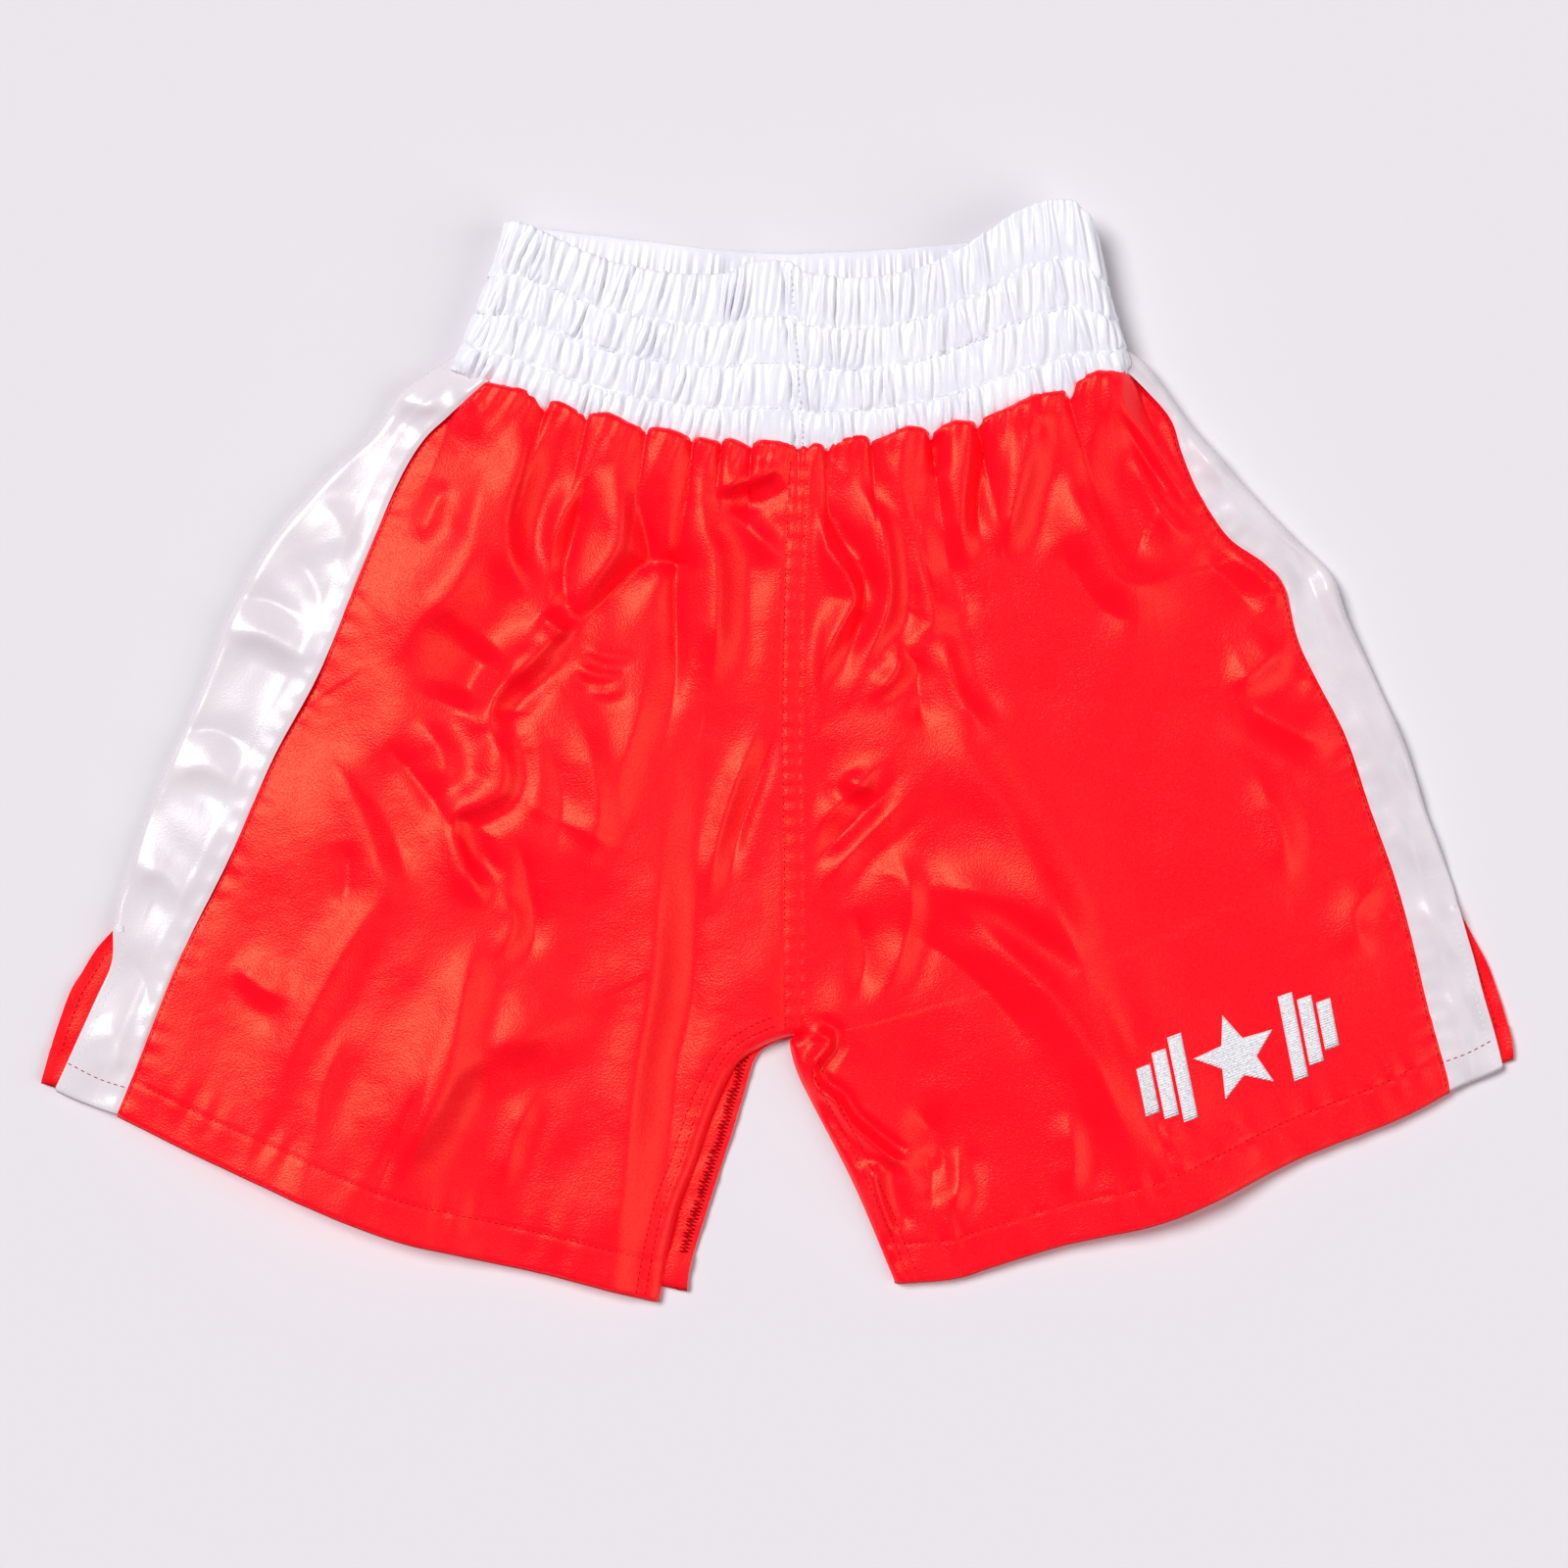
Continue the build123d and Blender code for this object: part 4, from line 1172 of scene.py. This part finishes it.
class SHORTS_OT_waistband(bpy.types.Operator):
    """Ruched white waistband, folded over its elastic"""

    bl_idname = "shorts.waistband"
    bl_label = "Waistband"

    def execute(self, context):
        band = Band(context.scene.shorts_sizes)
        # Shares of the cloth: its outer face up to the first, the fold up to the second, then its lining.
        outer_part, top_part = 0.78, 0.84

        def shape(u, v):
            loop = whole_loop(u)
            share = np.clip(v / outer_part, 0, 1) * 1.07 - 0.07
            face = band.outside(loop, np.where(v <= outer_part, share, 1.0))
            lining_share = 1 - np.clip((v - top_part) / (1 - top_part), 0, 1) * 0.9
            x, y, z, nx, nz, p = band.ring(loop, np.where(v > top_part, lining_share, 1.0), 2.6)
            crease = 1.9 * ribs(p, lining_share, 81, band.spacing) * ease((v - top_part) / 0.03)
            lining = np.stack([x - nx * crease, y, z - nz * crease], axis=-1)
            over = np.clip((v - outer_part) / (top_part - outer_part), 0, 1)
            mixed = ease(over)[:, None]
            placed = face * (1 - mixed) + lining * mixed
            placed[:, 1] += 1.5 * np.sin(math.pi * over)
            return placed

        obj = grid_sheet("waistband_cloth", 1000, 96, shape, ["waistband_satin"], "white_satin",
                         white_satin(), (720, 210), close=True)
        return {"FINISHED"}


class SHORTS_OT_elastics(bpy.types.Operator):
    """Four rows of elastic inside the band's channels"""

    bl_idname = "shorts.elastics"
    bl_label = "Elastic rows"

    def execute(self, context):
        band = Band(context.scene.shorts_sizes)
        m = elastic()
        for i, (low, high) in enumerate(zip(CHANNEL_SHARES, CHANNEL_SHARES[1:])):
            def shape(u, v, low=low, high=high):
                share = low + 0.012 + (high - low - 0.024) * v
                return np.stack(band.ring(whole_loop(u), share, 1.5)[:3], axis=-1)

            grid_sheet(f"elastic_row_{i + 1}_band", 240, 6, shape, [f"elastic_row_{i + 1}"], "elastic", m,
                       (680, 24), close=True)
        return {"FINISHED"}


class SHORTS_OT_body_stitching(bpy.types.Operator):
    """Stitching of the seams and hems of the body"""

    bl_idname = "shorts.body_stitching"
    bl_label = "Body stitching"

    def execute(self, context):
        sizes = context.scene.shorts_sizes
        length, width, depth = sizes.stitch_length / MM, sizes.thread_width / MM, sizes.hem_depth / MM
        red, white = red_thread(), white_thread()

        def sewn(name, lines, nodes, material, slot):
            stitch_mesh(name, lines, nodes, slot, material, length, 0.8, width, width * 0.8)

        legs = [Leg(data) for data in LEGS]
        centre = legs[0].centre[4:-2]
        fronts = [on(leg.front, beside(centre, offset)) for leg, offset in zip(legs, CENTRE_STITCHES)]
        sewn("centre_front_threads", fronts, ["centre_front_stitching"], red, "red_thread")

        def seam_inside(x, y):
            return 2.6 + 0 * x

        backs = [on(seam_inside, beside(centre, offset)) for offset in (-3, 3)]
        sewn("centre_back_threads", backs, ["centre_back_stitching"], red, "red_thread")
        for leg in legs:
            inward = leg.side
            name = leg.name
            seam = leg.seam[3:-1]
            sewn(f"stripe_seam_threads_{name}", [on(leg.front, beside(seam, -SEAM_STITCHES * inward))],
                 [f"stripe_seam_stitching_{name}"], red, "red_thread")
            inseam = leg.inseam[6:-1]
            sewn(f"inseam_threads_{name}",
                 [on(leg.front, beside(inseam, offset * inward)) for offset in INSEAM_STITCHES],
                 [f"inseam_stitching_{name}"], red, "red_thread")
            hem = beside(leg.hem, depth)[4:-4]
            stripe_hem = beside(leg.stripe_hem, depth - 5)
            back_slit = beside(leg.back_slit, -6.0 * inward)[4:-2]
            sewn(f"hem_threads_{name}",
                 [on(leg.front, hem), on(leg.stripe, stripe_hem, 0.2), on(leg.back, back_slit, 0.1)],
                 [f"hem_stitching_{name}"], red, "red_thread")
            slit = beside(leg.slit, -5.0 * inward)[3:-1]
            sewn(f"slit_threads_{name}", [on(leg.stripe, slit)], [f"slit_stitching_{name}"], white,
                 "white_thread")
        tacks = []
        for leg in legs:
            x, y = leg.slit[0]
            z = float(leg.stripe(np.array([x - leg.side * 3.0]), np.array([y]))[0]) + 0.3
            for k in range(5):
                tacks.append(np.array([[x - leg.side * 6.5, y + 1.5 - k * 0.7, z],
                                       [x - leg.side * 1.0, y + 1.5 - k * 0.7, z - 0.6]]))
        stitch_mesh("slit_tack_threads", tacks, ["slit_bar_tacks"], "white_thread", white, 5.0, 0.4, 0.8, 0.8)
        self.overlocks(legs, red)
        return {"FINISHED"}

    def overlocks(self, legs, material):
        """Zigzag overlock on the raw allowance inside each inseam."""
        for leg in legs:
            line = leg.back_inseam[4:]
            near, far = (on(leg.back, beside(line, offset * leg.side), 0.35) for offset in (2.4, 9.4))
            count = int(len(line) * SPACING / 2.1)
            random = np.random.default_rng(7)
            ends = []
            for k in range(count):
                a = along(near, np.array([k / count]))[0]
                b = along(far, np.array([(k + random.uniform(0.2, 0.8)) / count]))[0]
                b = a + (b - a) * random.uniform(0.72, 1.05)
                c = along(near, np.array([(k + 1) / count]))[0]
                ends += [(Vector(a), Vector(b)), (Vector(b), Vector(c))]
            thread_mesh(f"inseam_overlock_{leg.name}_threads", ends, [f"inseam_overlock_{leg.name}"],
                        "red_thread", material, 0.9, 0.8)


class SHORTS_OT_band_stitching(bpy.types.Operator):
    """Stitching of the waistband"""

    bl_idname = "shorts.band_stitching"
    bl_label = "Band stitching"

    def execute(self, context):
        sizes = context.scene.shorts_sizes
        band = Band(sizes)
        white = white_thread()
        width = sizes.thread_width / MM
        loop = np.linspace(0, 1, 1400, endpoint=False)
        rows = []
        for share in CHANNEL_SHARES[1:-1]:
            row = band.outside(loop, np.full(loop.shape, share))
            row[:, 2] += np.where(row[:, 2] > BAND_MIDDLE_Z, 0.2, -0.1)
            rows.append(row)
        seam = band.outside(loop, np.zeros(loop.shape))
        share = np.linspace(0.02, 0.97, 120)
        x = JOIN_BOTTOM_X + (JOIN_TOP_X - JOIN_BOTTOM_X) * share + 5.0
        left = np.interp(share, [0, 1], BAND_LEFT)
        right = np.interp(share, [0, 1], BAND_RIGHT)
        total = 2 * (right - left - 2 * BAND_RADIUS) + math.tau * BAND_RADIUS
        place = (x - left - BAND_RADIUS) / total
        join = band.outside(place, share)
        join[:, 2] += 0.3
        for name, lines, node, length, gap in (
            ("band_row_threads", rows, "waistband_row_stitching", 2.2, 1.0),
            ("waist_seam_threads", [seam], "waist_seam_stitching", 2.4, 0.8),
            ("band_join_threads", [join], "waistband_join_stitching", 2.0, 1.2),
        ):
            stitch_mesh(name, lines, [node], "white_thread", white, length, gap, width, width)
        return {"FINISHED"}


def on_motif(a, b):
    """Where a point of the motif's own plan lies on the leg."""
    cos, sin = math.cos(MOTIF_TURN), math.sin(MOTIF_TURN)
    return MOTIF_CENTRE[0] + cos * a - sin * b, MOTIF_CENTRE[1] + sin * a + cos * b


class SHORTS_OT_motif(bpy.types.Operator):
    """Embroidered star between slanting bars, on its backing"""

    bl_idname = "shorts.motif"
    bl_label = "Embroidered motif"

    def execute(self, context):
        leg = Leg(LEFT_LEG)
        bm = bmesh.new()
        for x, tall in MOTIF_BARS:
            made = bmesh.ops.create_grid(bm, x_segments=5, y_segments=max(8, tall // 3), size=0.5)["verts"]
            for vert in made:
                across, up = vert.co.x * 8, vert.co.y * tall
                vert.co = (x + across + up * 7 / 46, up, 0)
        star = bmesh.ops.create_circle(bm, cap_ends=True, segments=10, radius=24)["verts"]
        for i, vert in enumerate(star):
            angle = math.pi / 2 + i * math.pi / 5
            radius = 24 if i % 2 == 0 else 10.5
            vert.co = (radius * math.cos(angle), radius * math.sin(angle), 0)
        face = star[0].link_faces[0]
        poked = bmesh.ops.poke(bm, faces=[face])
        edges = [e for e in bm.edges if not set(e.link_faces).isdisjoint(poked["faces"])]
        bmesh.ops.subdivide_edges(bm, edges=edges, cuts=7, use_grid_fill=True)
        bmesh.ops.recalc_face_normals(bm, faces=bm.faces)
        if bm.faces[0].normal.z < 0:
            bmesh.ops.reverse_faces(bm, faces=bm.faces)
        rim = {v for e in bm.edges if e.is_boundary for v in e.verts}
        rim_flags = np.array([v in rim for v in bm.verts])
        local = np.array([v.co[:] for v in bm.verts])
        x, y = on_motif(local[:, 0], local[:, 1])
        z = leg.front(x, y) + np.where(rim_flags, 0.55, 0.95)
        for vert, px, py, pz in zip(bm.verts, x, y, z):
            vert.co = Vector((px, py, pz)) * MM
        skirt = bmesh.ops.extrude_edge_only(bm, edges=[e for e in bm.edges if e.is_boundary])
        for element in skirt["geom"]:
            if isinstance(element, bmesh.types.BMVert):
                element.co.z -= 1.1 * MM
        mesh = bpy.data.meshes.new("motif_threads")
        bm.to_mesh(mesh)
        bm.free()
        mesh.shade_smooth()
        finish_piece(bpy.data.objects.new("motif_threads", mesh), ["embroidered_motif"], "white_thread",
                     embroidery())
        self.backing(leg)
        return {"FINISHED"}

    def backing(self, leg):
        """Cut-away stabiliser under the motif."""
        def shape(u, v):
            x, y = on_motif((u - 0.5) * 128, (v - 0.5) * 58)
            return np.stack([x, y, leg.front(x, y) - 0.7], axis=1)

        obj = grid_sheet("embroidery_stabiliser", 40, 20, shape, ["embroidery_backing"], "backing",
                         stabiliser(), (128, 58))


OPERATORS = (
    SHORTS_OT_stage,
    SHORTS_OT_front_panels,
    SHORTS_OT_side_stripes,
    SHORTS_OT_back_panels,
    SHORTS_OT_waistband,
    SHORTS_OT_elastics,
    SHORTS_OT_body_stitching,
    SHORTS_OT_band_stitching,
    SHORTS_OT_motif,
)


class SHORTS_PT_pieces(bpy.types.Panel):
    """Sizes, colours and one button for each piece"""

    bl_label = "Boxing shorts"
    bl_idname = "SHORTS_PT_pieces"
    bl_space_type = "VIEW_3D"
    bl_region_type = "UI"
    bl_category = "Shorts"

    def draw(self, context):
        layout = self.layout
        for group in (context.scene.shorts_sizes, context.scene.shorts_looks):
            for key in group.__annotations__:
                layout.prop(group, key)
        for operator in OPERATORS:
            layout.operator(operator.bl_idname, text=operator.bl_label)


CLASSES = (ShortsSizes, ShortsLooks, *OPERATORS, SHORTS_PT_pieces)


def register():
    for cls in CLASSES:
        bpy.utils.register_class(cls)
    bpy.types.Scene.shorts_sizes = bpy.props.PointerProperty(type=ShortsSizes)
    bpy.types.Scene.shorts_looks = bpy.props.PointerProperty(type=ShortsLooks)


def unregister():
    del bpy.types.Scene.shorts_looks
    del bpy.types.Scene.shorts_sizes
    for cls in reversed(CLASSES):
        bpy.utils.unregister_class(cls)


def main():
    register()
    for operator in OPERATORS:
        group, name = operator.bl_idname.split(".")
        getattr(getattr(bpy.ops, group), name)()


if __name__ == "__main__":
    main()
